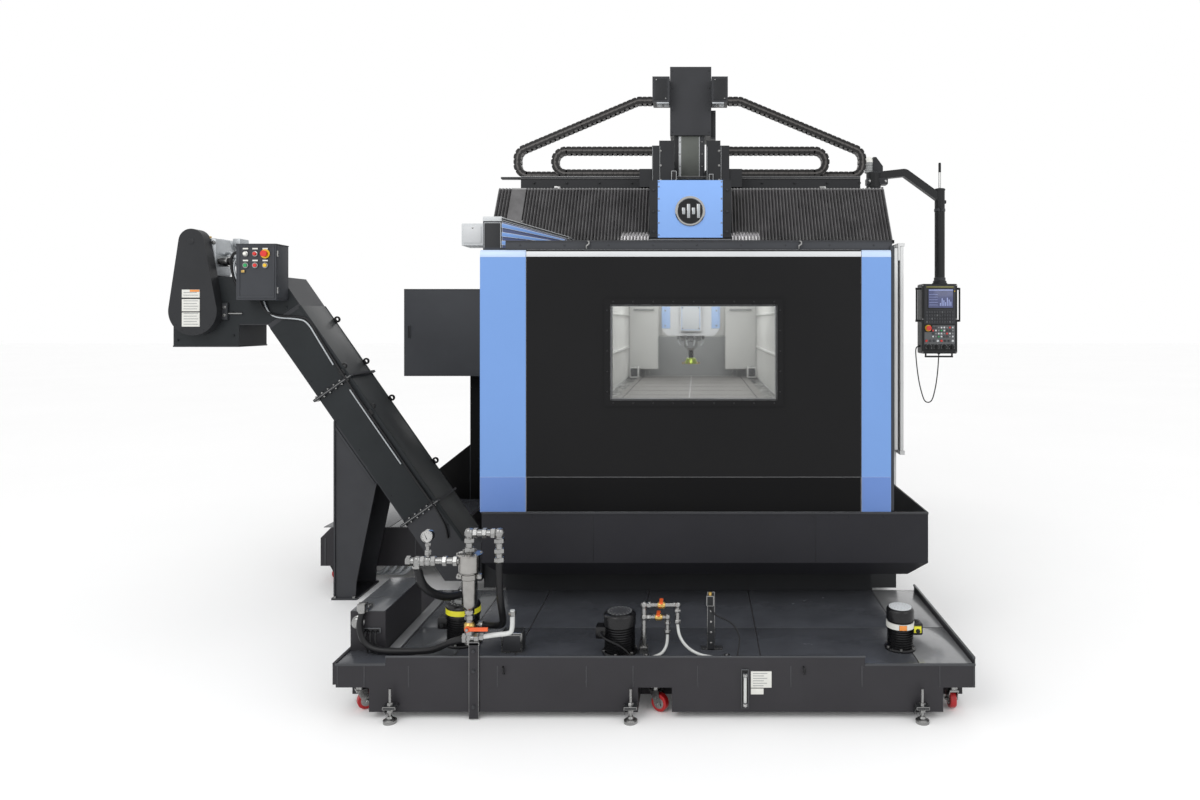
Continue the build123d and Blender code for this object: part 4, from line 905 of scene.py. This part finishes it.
box_trim = Piece("control_box_trim")
for x, z in (((-2870, -2640), (1936, 1950)), ((-2870, -2640), (2256, 2264)),
             ((-2870, -2856), (1950, 2256)), ((-2654, -2640), (1950, 2256))):
    box_trim.box(x, (1396.5, 1401), z, CABINET, 2)
box_trim.boxes(
    ((-2631, -2627), (1408, 1544), (1934, 2266), CABINET, 2),
    ((-2883, -2627), (1397, 1553), (2270, 2277), CASING, 3))
for z in (1985, 2215):
    box_trim.rod((-2628, 1412, z - 20), UP, 40, 6, STEEL)
box_trim.box((-2846, -2822), (1391, 1398), (2094, 2112), BRASS, 2)
for x in (-2819, -2759, -2696):
    for z in (2166, 2240):
        box_trim.box((x - 17, x + 17), (1394.5, 1397), (z, z + 10), PAPER, 0.5)
for x, lens in ((-2819, LAMP_WHITE), (-2759, RED)):
    box_trim.turned((x, 1395, 2213), TOWARD, [(17, 0), (17, 3), (13, 5)], STEEL, 28)
    box_trim.turned((x, 1391, 2213), TOWARD, [(12, 0), (12, 6), (9, 11), (4, 13)], lens, 28)
for x in (-2819, -2759, -2696):
    box_trim.ring((x, 1395, 2141), TOWARD, 12, 18, 4, STEEL)
box_trim.ring((-2696, 1395, 2213), TOWARD, 10, 29, 3, YELLOW)
box_trim.make()

# ---- coolant tank and its fittings

DECK_Z = 246
DECK_SHEET_Z = (DECK_Z - 1, DECK_Z + 2)
LIP_Y = (-3, 7)
FIN_PITCH = 11
DECK_GREY = material("deck_mid_grey", (78, 80, 83), 0.2, specular=0.5, vary=0.15, patch=0.2,
                     bump=0.06, coat=0.2)
GLOSS_GREY = material("deck_grey", (128, 129, 130), 0.2, specular=0.5, vary=0.1, patch=0.2,
                      bump=0.06, coat=0.3)
DIAL = material("dial_face", (226, 226, 222), 0.3, vary=0.02, patch=0.02, bump=0.02)
BAND_YELLOW = material("plate_yellow", (222, 216, 46), 0.4, vary=0.05, patch=0.03)

tank = Piece("tank_trim")
for low, high, surface in ((-1392, -1120, DECK_GREY), (-1114, -842, DECK), (-836, -276, DECK),
                           (-270, 290, DECK), (296, 998, DECK), (1004, 1244, GLOSS_GREY)):
    for front_y, back_y in ((8, 426), (432, 994)):
        tank.box((low, high), (front_y, back_y), DECK_SHEET_Z, surface, 1.2)
tank.boxes(
    ((-1624, -1402), (6, 148), DECK_SHEET_Z, DECK, 1.2),
    ((-1456, -1402), (152, 994), DECK_SHEET_Z, GLOSS_GREY, 1.2),
    ((-1402, 758), LIP_Y, (276, 284), CASING, 2), ((758, 1254), LIP_Y, (240, 250), CASING, 2),
    ((-1628, -1402), LIP_Y, (240, 250), CASING, 2),
    ((1243, 1255), (2, 1002), (268, 279), CASING, 3))
for x in (-872, 480):
    tank.tube([(x, 0, 236), (x, -12, 232), (x + 4, -14, 214), (x + 4, -4, 206)], 4, BLACK_METAL)
for right, base, top in ((336, 142, 216), (300, 112, 139)):
    tank.box((242, right), (-2.5, 1), (base, top), PAPER, 0.6)
for z in range(150, 206, 11):
    tank.box((252, 326 - (z * 7) % 31), (-3.2, -2), (z, z + 3), GREY, 0.2)
tank.box((198, 234), (-6, 1), (50, 226), BLACK_METAL, 3)
tank.rod((216, -14, 78), UP, 120, 7, CLEAR_HOSE)
for z in (64, 196):
    tank.box((205, 227), (-24, -4), (z, z + 18), CHROME, 3)
    tank.bolt((216, -24, z + 9), TOWARD, 11, CHROME)
for x in (-1620, -1500, -1300, -900, -500, -290, 0, 420, 740, 1090, 1244):
    tank.box((x, x + 5), (-2, 2), (146, 238), TANK, 1)
tank.boxes(
    ((-1622, -1462), (152, 638), (428, 434), DECK_GREY, 2),
    ((-1612, -1472), (330, 334), (431, 436), COVER, 1))
tank.turned((-1586, 152, 383), TOWARD, [(30, 0), (30, 8), (24, 12), (24, 26), (18, 30), (12, 31)],
            STEEL, 32)
tank.box((-1560, -1480), (142, 152), (330, 356), BLACK_METAL, 4)
for x in (-1544, -1520, -1496):
    tank.tube([(x, 146, 343), (x, 120, 340), (x + 4, 112, 300), (x + 14, 118, 250)], 4, RUBBER)
for x in (-2560, -2240, -1940, -1690):
    tank.box((x, x + 8), (1901, 1906), (116, 300), CASING, 2)
for low, high in ((-2574, -2120), (-2112, -1660)):
    tank.box((low, high), (1915, 2790), (370, 374), DECK, 1.5)
tank.make()

feet = Piece("foot_nuts")
for x in (-1370, -296, 1006):
    feet.turned((x, -30, 11), UP, [(30, 0), (26, 4), (14, 9), (10, 18)], STEEL, 32)
    for z in (46, 76):
        feet.turned((x, -30, z), UP, [(13, 0), (13, 11), (11, 13)], STEEL, 6)
    feet.box((x - 30, x + 30), (-46, 0), (61, 75), COVER, 3)
    feet.prism([(-40, 62), (0, 62), (0, 20)], (x - 32, x - 27), COVER, "yz", 1)
feet.make()


def caster_trim(place, x, y, angle):
    """Hub caps on the wheel's faces and the axle's nuts."""
    turn = radians(angle)
    ahead, aside = (cos(turn), sin(turn)), (-sin(turn), cos(turn))
    centre = (x + 24 * ahead[0], y + 24 * ahead[1])
    wheel = Piece(f"{place}_caster_hub", f"{place}_caster_wheel")
    fork_body = "machine" if place == "rear" else f"{place}_caster_fork"
    nuts = Piece(f"{place}_caster_nuts", fork_body)
    for side in (-1, 1):
        axis = (side * aside[0], side * aside[1], 0)

        def out(distance):
            return (centre[0] + axis[0] * distance, centre[1] + axis[1] * distance, 42)

        wheel.turned(out(14.4), axis, [(26, 0), (26, 0.9), (22, 1.2), (12, 1.3), (7.5, 1.3)],
                     STEEL, 28)
        nuts.bolt(out(21.2), axis, 13)
    wheel.make()
    nuts.make()


for caster in (("left", -1550, 88, 35), ("centre", -190, 88, -30), ("right", 1180, 88, 90),
               ("rear", -2516, 1960, 0)):
    caster_trim(*caster)


def pump(name, x, y, radius, top, side, band=None, drop=90):
    """Finned immersion pump with a fan cowl, terminal box and bolted foot."""
    piece = Piece(f"{name}_body", "machine")
    piece.turned((x, y, DECK_Z), UP, [(radius + 8, 0), (radius + 8, 9), (radius + 2, 14)],
                 BLACK_METAL, 48)
    for spot in around(x, y, radius + 1, 6, 20):
        piece.bolt((*spot, DECK_Z + 12), UP, 11)
    root, fin, height = radius - 12, radius - 4, top - DECK_Z
    profile = [(root, 12)]
    for z in range(20, height - 62, FIN_PITCH):
        profile += [(root, z), (fin, z + 1), (fin, z + 4), (root, z + 5)]
    piece.turned((x, y, DECK_Z), UP, profile + [(root, height - 56)], BLACK_METAL, 48)
    if band:
        piece.turned((x, y, top - drop), UP, [(radius - 6, 0), (radius + 1, 1),
                                             (radius + 1, 26), (radius - 6, 27)], band, 48)
    piece.turned((x, y, top - 58), UP, [(radius - 10, 0), (radius, 2), (radius, 46),
                                       (radius - 3, 53), (radius - 10, 58), (radius - 14, 58),
                                       (radius - 14, 62), (radius - 22, 62)], BLACK_METAL, 48)
    for ring, count in ((0.32, 8), (0.52, 12), (0.7, 18)):
        for spot in around(x, y, ring * radius, count):
            piece.screw((*spot, top + 3.4), UP, 3.2, GREY)
    near, far = x + side * (radius - 12), x + side * (radius + 34)
    piece.boxes(
        (sorted((near, far)), (y - 30, y + 30), (318, 374), BLACK_METAL, 6),
        (sorted((far - side * 3, far + side * 2)), (y - 26, y + 26), (322, 370), CASING, 3))
    piece.turned(((near + far) / 2, y - 29, 340), TOWARD, [(11, 0), (11, 8), (8, 12)],
                 BLACK_PLASTIC, 6)
    return piece


left = pump("left_pump", -1124, 250, 81, 440, -1, BAND_YELLOW, 44)
left.rod((-1124, 250, 440), UP, 20, 40, GREY)
left.box((-1150, -1100), (234, 282), (456, 508), STEEL, 9)
left.turned((-1127, 240, 483), TOWARD, [(24, -2), (24, 14), (20, 18)], STEEL, 6)
left.turned((-1068, 250, 330), RIGHT, [(22, 0), (22, 14), (20, 18), (20, 38)], STEEL, 28)
left.make("left_pump")
centre = pump("centre_pump", -360, 136, 75, 435, -1)
centre.turned((-360, 136, 436), UP, [(58, 0), (58, 3), (20, 5)], CASING, 40)
centre.make("centre_pump")
right = pump("right_pump", 960, 180, 64, 441, 1, PAPER)
right.turned((960, 180, 440), UP, [(52, 0), (52, 5), (44, 6)], PALE_GREY, 40)
right.boxes(
    ((1016, 1052), (146, 151), (330, 362), BAND_YELLOW, 1),
    ((940, 976), (115, 118), (352, 376), BAND_ORANGE, 1))
right.make("right_pump")

FILTER = (-1029, 20)
filter_body = Piece("filter_body")
filter_body.turned((*FILTER, 470), UP, [
    (14, 0), (22, 0.5), (22, 14), (20, 16), (26, 26), (35, 40), (35, 154), (38, 157), (38, 178),
    (35, 181), (35, 187), (46, 188), (49, 191), (49, 262), (46, 265), (58, 265.5), (59, 267),
    (59, 270), (57, 271), (20, 271.5)], STAINLESS, 56)
for spot in around(*FILTER, 52, 6, 15):
    filter_body.bolt((*spot, 740.5), UP, 9)
for side in (-1, 1):
    ear = sorted((FILTER[0] + side * 36, FILTER[0] + side * 56))
    filter_body.box(ear, (10, 30), (626, 648), STEEL, 3)
    filter_body.bolt((FILTER[0] + side * 50, 10, 637), TOWARD, 12)
filter_body.make("filter_housing")

pipes = Piece("pipe_fittings")


def union(x, y, z, axis, radius, length=22):
    """Hexagon nut with chamfered ends, centred on a point of the pipe."""
    back = [c - a * length / 2 for c, a in zip((x, y, z), axis)]
    pipes.turned(back, axis, [(radius * 0.86, 0), (radius, 3), (radius, length - 3),
                              (radius * 0.86, length)], STEEL, 6, random.random())


def elbow(x, y, z, radius):
    """A cast corner with its bead."""
    pipes.turned((x, y, z - radius), UP, [(radius * 0.3, 0), (radius * 0.75, radius * 0.2),
                                         (radius, radius * 0.7), (radius, radius * 1.3),
                                         (radius * 0.75, radius * 1.8), (radius * 0.3, radius * 2)],
                 STEEL, 28)


for base, axis, length, radius in (
        ((*FILTER, 385), UP, 85, 15), ((*FILTER, 410), TOWARD, 52, 7), ((*FILTER, 330), UP, 55, 18),
        ((-1060, 20, 358), RIGHT, 66, 17), ((*FILTER, 741), UP, 84, 16),
        ((*FILTER, 832), RIGHT, 135, 16), ((-894, 20, 700), UP, 132, 16),
        ((-1317, 20, 706), RIGHT, 245, 15), ((-1265, 20, 672), UP, 34, 18),
        ((-1217, 20, 706), UP, 88, 9), ((-1560, 130, 432), UP, 24, 19),
        ((-246, 120, 262), UP, 222, 11)):
    pipes.rod(base, axis, length, radius, STEEL)
pipes.turned((*FILTER, 392), UP, [(16, 0), (24, 8), (26, 18), (24, 30), (16, 38)], BRASS, 32)
pipes.bolt((-1029, -26, 410), TOWARD, 11)
pipes.tube([(-990, 20, 359), (-905, 20, 373), (-850, 20, 377), (-835, 20, 392), (-835, 20, 484)],
           11, CLEAR_HOSE)
for x, z, axis, *size in (
        (-1029, 384, UP, 23), (-1029, 452, UP, 23), (-1050, 358, RIGHT, 22),
        (-996, 358, RIGHT, 22), (-1029, 336, UP, 22, 12), (-835, 468, UP, 17),
        (-975, 361, RIGHT, 17), (-1029, 758, UP, 24), (-1029, 800, UP, 24), (-894, 798, UP, 24),
        (-894, 752, UP, 24), (-894, 712, UP, 24), (-1002, 832, RIGHT, 23), (-960, 832, RIGHT, 23),
        (-921, 832, RIGHT, 23), (-1304, 706, RIGHT, 23), (-1240, 706, RIGHT, 23),
        (-1192, 706, RIGHT, 23), (-1140, 706, RIGHT, 23), (-1092, 706, RIGHT, 23),
        (-1265, 680, UP, 24, 16), (-1217, 744, UP, 16), (-1217, 780, UP, 14, 14)):
    union(x, FILTER[1], z, axis, *size)
for x, z, radius in ((-1029, 832, 22), (-894, 832, 22), (-1265, 706, 21), (-1217, 706, 21)):
    elbow(x, FILTER[1], z, radius)
GAUGE = (-1217, 820)
pipes.turned((GAUGE[0], 34, GAUGE[1]), TOWARD,
             [(24, 0), (28, 3), (28, 30), (25, 34), (24, 34), (23, 30)], CHROME, 44)
pipes.turned((GAUGE[0], 6, GAUGE[1]), TOWARD, [(24, 0), (24, 1.4)], DIAL, 36)
outer_marks, inner_marks = (around(*GAUGE, reach, 9, -40, 32.5) for reach in (21, 16))
for (far_x, far_z), (x, z) in zip(outer_marks, inner_marks):
    aside_x, aside_z = -0.28 * (far_z - z), 0.28 * (far_x - x)
    pipes.prism([(far_x, far_z), (x, z), (x + aside_x, z + aside_z),
                 (far_x + aside_x, far_z + aside_z)], (4, 5), BLACK_PLASTIC, bevel=0)
pipes.prism([(-1219, 808), (-1215, 808), (-1229, 834)], (3, 4.4), BLACK_PLASTIC, bevel=0)
pipes.boxes(
    ((-1025, -980), (-9, 0), (4, 350), TANK, 2), ((-1028, -977), (-9, 22), (333, 346), TANK, 3))
pipes.bolts([-1003], -9, (60, 220, 310), 13, CASING)
pipes.boxes(
    ((-912, -812), (120, 190), (DECK_Z, 340), COVER, 5),
    ((-906, -818), (116, 122), (256, 332), CASING, 3),
    ((-1580, -1540), (108, 151), (440, 478), STEEL, 9),
    ((-1580, -1540), (140, 210), (430, 450), STEEL, 5))
for x in (-230, 135):
    pipes.box((x - 15, x + 15), (23, 57), (DECK_Z, 272), BLACK_PLASTIC, 4)
    pipes.screw((x, 40, 272), UP, 6)
pipes.boxes(
    ((48, 84), (155, 161), (DECK_Z, 520), COVER, 2),
    ((20, 120), (155, 195), (DECK_Z, 253), COVER, 2),
    ((44, 80), (144, 156), (455, 505), BLACK_PLASTIC, 4))
pipes.rod((62, 151, 505), UP, 16, 8, BRASS)
pipes.screws([66], 155, (280, 330, 380, 430), 6)
for x, y in ((186, 78), (-294, 45)):
    pipes.turned((x, y, DECK_Z), UP, [(12, 0), (12, 5), (9, 8)], BLACK_PLASTIC, 6)
pipes.box((-266, -228), (102, 138), (250, 284), STEEL, 6)
for z, end_x, low, valve_x in ((471, -90, 385, -165), (415, -137, 338, -178)):
    pipes.rod((-246, 120, z), RIGHT, end_x + 246, 10, STEEL)
    pipes.rod((end_x, 120, low), UP, z - low, 10, STEEL)
    elbow(end_x, 120, z, 14)
    elbow(-246, 120, z, 15)
    union(end_x, 120, low + 10, UP, 15, 18)
    union(end_x, 120, z - 26, UP, 15, 14)
    union(-222, 120, z, RIGHT, 15, 16)
    pipes.turned((valve_x - 18, 120, z), RIGHT, [(11, 0), (15, 5), (16, 18), (15, 31), (11, 36)],
                 BRASS, 24)
    pipes.rod((valve_x, 120, z), UP, 21, 5, STEEL)
pipes.make("coolant_pipework")

# ---- pendant and its arm

SCREEN = glowing(material("screen_glass", (58, 62, 92), 0.14, vary=0.3, patch=0.05, bump=0.0),
                 (0.1, 0.12, 0.25, 1), 0.35)
SCREEN_LINE = glowing(material("screen_lines", (132, 142, 186), 0.2, vary=0.05, patch=0.05,
                               bump=0.0), (0.3, 0.35, 0.6, 1), 0.3)
TUBE, LAMP = (1966, 2880), (1392, 2880)
OLIVE = material("olive_strip", (120, 118, 62), 0.4, vary=0.05, patch=0.05)
KEY_GREY = material("key_grey", (128, 130, 132), 0.5, vary=0.06, patch=0.02)
KEY_DARK = material("key_dark", (52, 54, 58), 0.5, vary=0.1, patch=0.02)
LOWER_PANEL = material("keypad_panel", (88, 90, 92), 0.45, vary=0.05, patch=0.05)

LINE_Y = (2808.8, 2810)
panel = Piece("pendant_face", "pendant")


def keys(columns, corner, pitch, size, y, colours, order):
    """Four rows of keys from a low left corner, in colours that repeat out of step."""
    for row in range(4):
        for column in range(columns):
            x, z = corner[0] + pitch[0] * column, corner[1] + pitch[1] * row
            colour = colours[(row * order[0] + column * order[1]) % len(colours)]
            panel.box((x, x + size[0]), y, (z, z + size[1]), colour, 2)


panel.boxes(
    ((1823, 2073), (2814, 2821), (1768, 2081), CASING, 5),
    ((1838, 2058), (2811, 2815), (2062, 2074), OLIVE, 1),
    ((1848, 2060), (2811, 2815), (1893, 2056), BLACK_PLASTIC, 3),
    ((1855, 2053), (2809.5, 2812), (1900, 2051), SCREEN, 1),
    ((1858, 2050), LINE_Y, (2038, 2047), SCREEN_LINE, 0.2))
for z in range(1922, 2010, 21):
    panel.box((1860, 1930), LINE_Y, (z, z + 3), SCREEN_LINE, 0.2)
for number in range(7):
    x, height = 1946 + 14 * number, 24 + (number * 37) % 53
    panel.box((x, x + 8), LINE_Y, (1916, 1916 + height), SCREEN_LINE, 0.2)
panel.screw((2066, 2814, 2034), TOWARD, 4, YELLOW)
keys(11, (1836, 1778), (20.5, 26), (15, 19), (2810, 2815),
     [LOWER_PANEL] + 8 * [KEY_DARK], (7, 1))
panel.boxes(
    ((1822, 2070), (2815, 2821), (1606, 1709), LOWER_PANEL, 4),
    ((1884, 2070), (2815, 2821), (1706, 1762), LOWER_PANEL, 4))
keys(8, (1884, 1662), (22.5, 24), (17, 17), (2811, 2816),
     [PALE_GREY, KEY_GREY, PALE_GREY, KEY_DARK, PALE_GREY, KEY_GREY, RED, PALE_GREY, KEY_GREY,
      KEY_DARK, GREEN], (3, 5))
for column in range(8):
    colour = (RED, KEY_DARK, KEY_DARK, PALE_GREY)[column % 4]
    panel.turned((1840 + 30 * column, 2816, 1636), TOWARD, [(10, 0), (9, 7), (7, 9)], colour, 20)
panel.ring((1856, 2818, 1738), TOWARD, 10, 26, 5, YELLOW)
panel.box((1818, 2074), (2818, 2821), (1548, 1604), BLACK_PLASTIC, 3)
for x in (1861, 1921, 1984, 2045):
    for dot_x, z in around(x, 1585, 23, 9, -30, 30):
        panel.box((dot_x - 1.5, dot_x + 1.5), (2816.5, 2819), (z - 1.5, z + 1.5), PALE_GREY, 0.2)
panel.screws((1812, 2080), 2820, (1545, 1810, 2080), 5)
panel.box((1830, 2062), (2939, 2944), (1560, 2070), CASING, 4)
for z in range(1640, 1840, 24):
    panel.box((1870, 2022), (2943, 2946), (z, z + 10), BLACK_METAL, 1)
panel.turned((*TUBE, 2093), UP, [(60, 0), (60, 8), (53, 12), (53, 24), (48, 28)], COVER, 40)
for x in (1773, 2111):
    for z in (1788, 2046):
        panel.rod((x, 2860, z), UP, 18, 9.5, BLACK_METAL)
panel.turned((1803, 2880, 1592), LEFT, [(9, -2), (9, 5), (7, 9)], BLACK_PLASTIC, 6)
panel.turned((1959, 2880, 1534), DOWN, [(11, -2), (11, 5), (8, 9)], BLACK_PLASTIC, 6)
panel.make()

arm = Piece("arm_fittings", "pendant_arm")
arm.turned((1430, 2880, 2990), UP, [(58, 0), (58, 4), (50, 8)], CASING, 40)
arm.turned((*LAMP, 2992), UP, [(30, 0), (36, 4), (36, 14), (32, 17), (36, 20), (36, 32),
                               (32, 35), (36, 38), (36, 50), (32, 53), (36, 56), (36, 70),
                               (38, 74), (38, 84)], GREY, 36)
arm.turned((*LAMP, 3076), UP, [(38, 0), (37, 14), (32, 30), (22, 42), (10, 48), (2, 50)],
           LAMP_WHITE, 36)
arm.prism([(1420, 2992), (1500, 2992), (1500, 3044), (1446, 3118), (1420, 3118)],
          (2846, 2914), COVER, bevel=5)
arm.box((1370, 1538), (2836, 2924), (2896, 2946), COVER, 5)
arm.bolts((1390, 1518), 2836, [2921], 15)
arm.turned((*TUBE, 2866), UP, [(12, 0), (11, 6), (10, 10), (10, 132), (8, 134)], CHROME, 24)
arm.turned((*TUBE, 3000), UP, [(10.5, 0), (10.5, 70), (8, 76), (2, 77)], BLACK_PLASTIC, 24)
arm.turned((*TUBE, 2852), UP, [(44, 0), (44, 8), (38, 14), (14, 16)], COVER, 40)
arm.rod((2000, 2880, 2759), RIGHT, 16, 15, BLACK_PLASTIC)
arm.rod((1966, 2835, 2700), TOWARD, 14, 12, BLACK_PLASTIC)
arm.turned((*TUBE, 2118), UP, [(42, 0), (46, 2), (46, 26), (41, 30)], CASING, 40)
arm.turned((*TUBE, 2680), UP, [(41, 0), (44, 2), (44, 22), (41, 24)], CASING, 40)
arm.make()

stand = Piece("stand_trim")
stand.box((1362, 1498), (2822, 2938), (2846, 2871), COVER, 5)
stand.bolts((1384, 1476), 2832, [2860], 16)
stand.box((1366, 1494), (2826, 2934), (2396, 2412), CASING, 3)
stand.make()

door = Piece("side_door_trim", "side_door")
door.boxes(
    ((1317, 1320), (1540, 2400), (1010, 2230), WHITE, 4),
    ((1316, 1322), (1700, 2240), (1500, 2060), CASING, 6),
    ((1318, 1324), (1730, 2210), (1530, 2030), KEY_DARK, 3))
for y in (1520, 2540):
    for z in (1000, 1400, 1840, 2240):
        door.screw((1317, y, z), RIGHT, 7)
door.make()

# ---- covers on the sides and the back

PLATE, LOUVRE, SCREW_INSET = 3, 9, 28
WALL_LEFT_X, WALL_RIGHT_X, WALL_BACK_Y = -1385, 1295, 4960
CABINET_LEFT_X, CABINET_BACK_Y, BEAM_BACK_Y = -2270, 3500, 2930
WALL_Z, BASE_Z = (412, 2168), (82, 390)


def cover_plate(piece, side, face, across, height, surface, screws=4):
    """A screwed sheet proud of a face; side is the way that the face looks."""
    outer = face + PLATE * sum(side)
    spans = (sorted((face, outer)), across) if side[0] else (across, sorted((face, outer)))
    piece.box(*spans, height, surface, 1.5)
    low, high = height[0] + SCREW_INSET, height[1] - SCREW_INSET
    for a in (across[0] + SCREW_INSET, across[1] - SCREW_INSET):
        for i in range(screws):
            z = low + (high - low) * i / (screws - 1)
            piece.screw((outer, a, z) if side[0] else (a, outer, z), side, 8)


def louvres(piece, side, face, across, height, count, surface):
    """Pressed slats that hang over their slots."""
    pitch = (height[1] - height[0]) / count
    outer = face + LOUVRE * sum(side)
    for i in range(count):
        low = height[0] + i * pitch
        slat = [(face, low), (outer, low + 0.1 * pitch), (outer, low + 0.25 * pitch),
                (face, low + 0.75 * pitch)]
        piece.prism(slat, across, surface, "yz" if side[1] else "xz", bevel=0.8)


walls = Piece("wall_covers")
for across in ((1620, 2590), (3510, 4225), (4235, 4950)):
    cover_plate(walls, LEFT, WALL_LEFT_X, across, WALL_Z, WHITE, 6)
for across in ((3440, 4190), (4200, 4950)):
    cover_plate(walls, RIGHT, WALL_RIGHT_X, across, WALL_Z, WHITE, 6)
for across in ((1620, 2510), (2520, 3420)):
    walls.box((1294, 1296.5), across, (412, 930), WHITE, 1)
for across in ((1620, 2720), (2730, 3840), (3850, 4950)):
    cover_plate(walls, RIGHT, WALL_RIGHT_X, across, BASE_Z, COVER, 2)
    cover_plate(walls, LEFT, WALL_LEFT_X, across, BASE_Z, COVER, 2)
for across in ((-1372, -50), (-40, 1282)):
    cover_plate(walls, BACK, WALL_BACK_Y, across, BASE_Z, COVER, 2)
cover_plate(walls, BACK, WALL_BACK_Y, (-1372, -738), WALL_Z, WHITE, 6)
cover_plate(walls, BACK, WALL_BACK_Y, (648, 1282), WALL_Z, WHITE, 6)
walls.boxes(
    ((690, 1240), (4962, 4972), (900, 2100), PALE_GREY, 5),
    ((1196, 1222), (4970, 4984), (1450, 1600), BLACK_PLASTIC, 5))
for z in (1020, 1500, 1980):
    walls.rod((690, 4970, z - 35), UP, 70, 8, STEEL)
louvres(walls, BACK, 4971, (780, 1150), (960, 1200), 8, PALE_GREY)
for x in (-700, -400, -45, 310, 600):
    walls.box((x - 18, x + 18), (4989, 4996), (420, 2160), GREY, 3)
for z in (470, 1290, 2110):
    walls.box((-716, 626), (4989, 4994), (z - 16, z + 16), GREY, 3)
    for x in (-550, -220, 130, 460):
        walls.bolt((x, 4994, z), BACK, 14)
cover_plate(walls, BACK, CABINET_BACK_Y, (-2256, -1400), (1382, 2029), CABINET, 4)
louvres(walls, LEFT, CABINET_LEFT_X, (2850, 3250), (1760, 1980), 8, CABINET)
louvres(walls, LEFT, CABINET_LEFT_X, (2850, 3250), (1440, 1600), 6, CABINET)
walls.make()

beam = Piece("rear_beam_covers", "bridge")
for across in ((-1345, -695), (-685, -45), (-35, 610), (620, 1268)):
    cover_plate(beam, BACK, BEAM_BACK_Y, across, (2340, 2685), COVER, 2)
beam.make()


# ---- stage, light and camera

def area_light(name, place, target, size, power):
    data = bpy.data.lights.new(name, "AREA")
    data.shape, data.size, data.energy = "SQUARE", size, power
    lamp = bpy.data.objects.new(name, data)
    lamp.location = at(*place)
    aim = at(*target) - lamp.location
    lamp.rotation_euler = aim.to_track_quat("-Z", "Y").to_euler()
    bpy.context.scene.collection.objects.link(lamp)


def floor():
    data = bpy.data.meshes.new("floor")
    reach = 60
    corners = [(-reach, -reach, 0), (reach, -reach, 0), (reach, reach, 0), (-reach, reach, 0)]
    data.from_pydata(corners, [], [(0, 1, 2, 3)])
    paint = material("floor_paint", (248, 248, 248), 0.9, specular=0.1, vary=0.01, patch=3,
                     bump=0.0)
    data.materials.append(glowing(paint, (1, 1, 1, 1), 0.04))
    made = bpy.data.objects.new("floor", data)
    bpy.context.scene.collection.objects.link(made)


floor()
world = bpy.data.worlds.new("studio")
world.use_nodes = True
world.node_tree.nodes["Background"].inputs["Color"].default_value = (1, 1, 1, 1)
world.node_tree.nodes["Background"].inputs["Strength"].default_value = 1.0
bpy.context.scene.world = world
area_light("key", (-3500, -4500, 5200), (0, 1500, 1000), 3.5, 120)
area_light("fill", (4500, -4000, 4200), (0, 1500, 1200), 3.5, 60)
area_light("chamber_front", (-45, 1300, 2140), (-45, 1900, 1215), 0.9, 16)
area_light("chamber_back", (-45, 3500, 2170), (-45, 3500, 1215), 1.1, 7)

camera_data = bpy.data.cameras.new("camera")
camera_data.sensor_width, camera_data.lens = 36, 24
camera_data.shift_x, camera_data.shift_y = -0.0808, -0.065
camera_data.clip_end = 200
camera = bpy.data.objects.new("camera", camera_data)
camera.location = at(0, -3600, 1787)
camera.rotation_euler = (radians(90), 0, 0)
bpy.context.scene.collection.objects.link(camera)
bpy.context.scene.camera = camera
bpy.context.scene.view_settings.view_transform = "Standard"
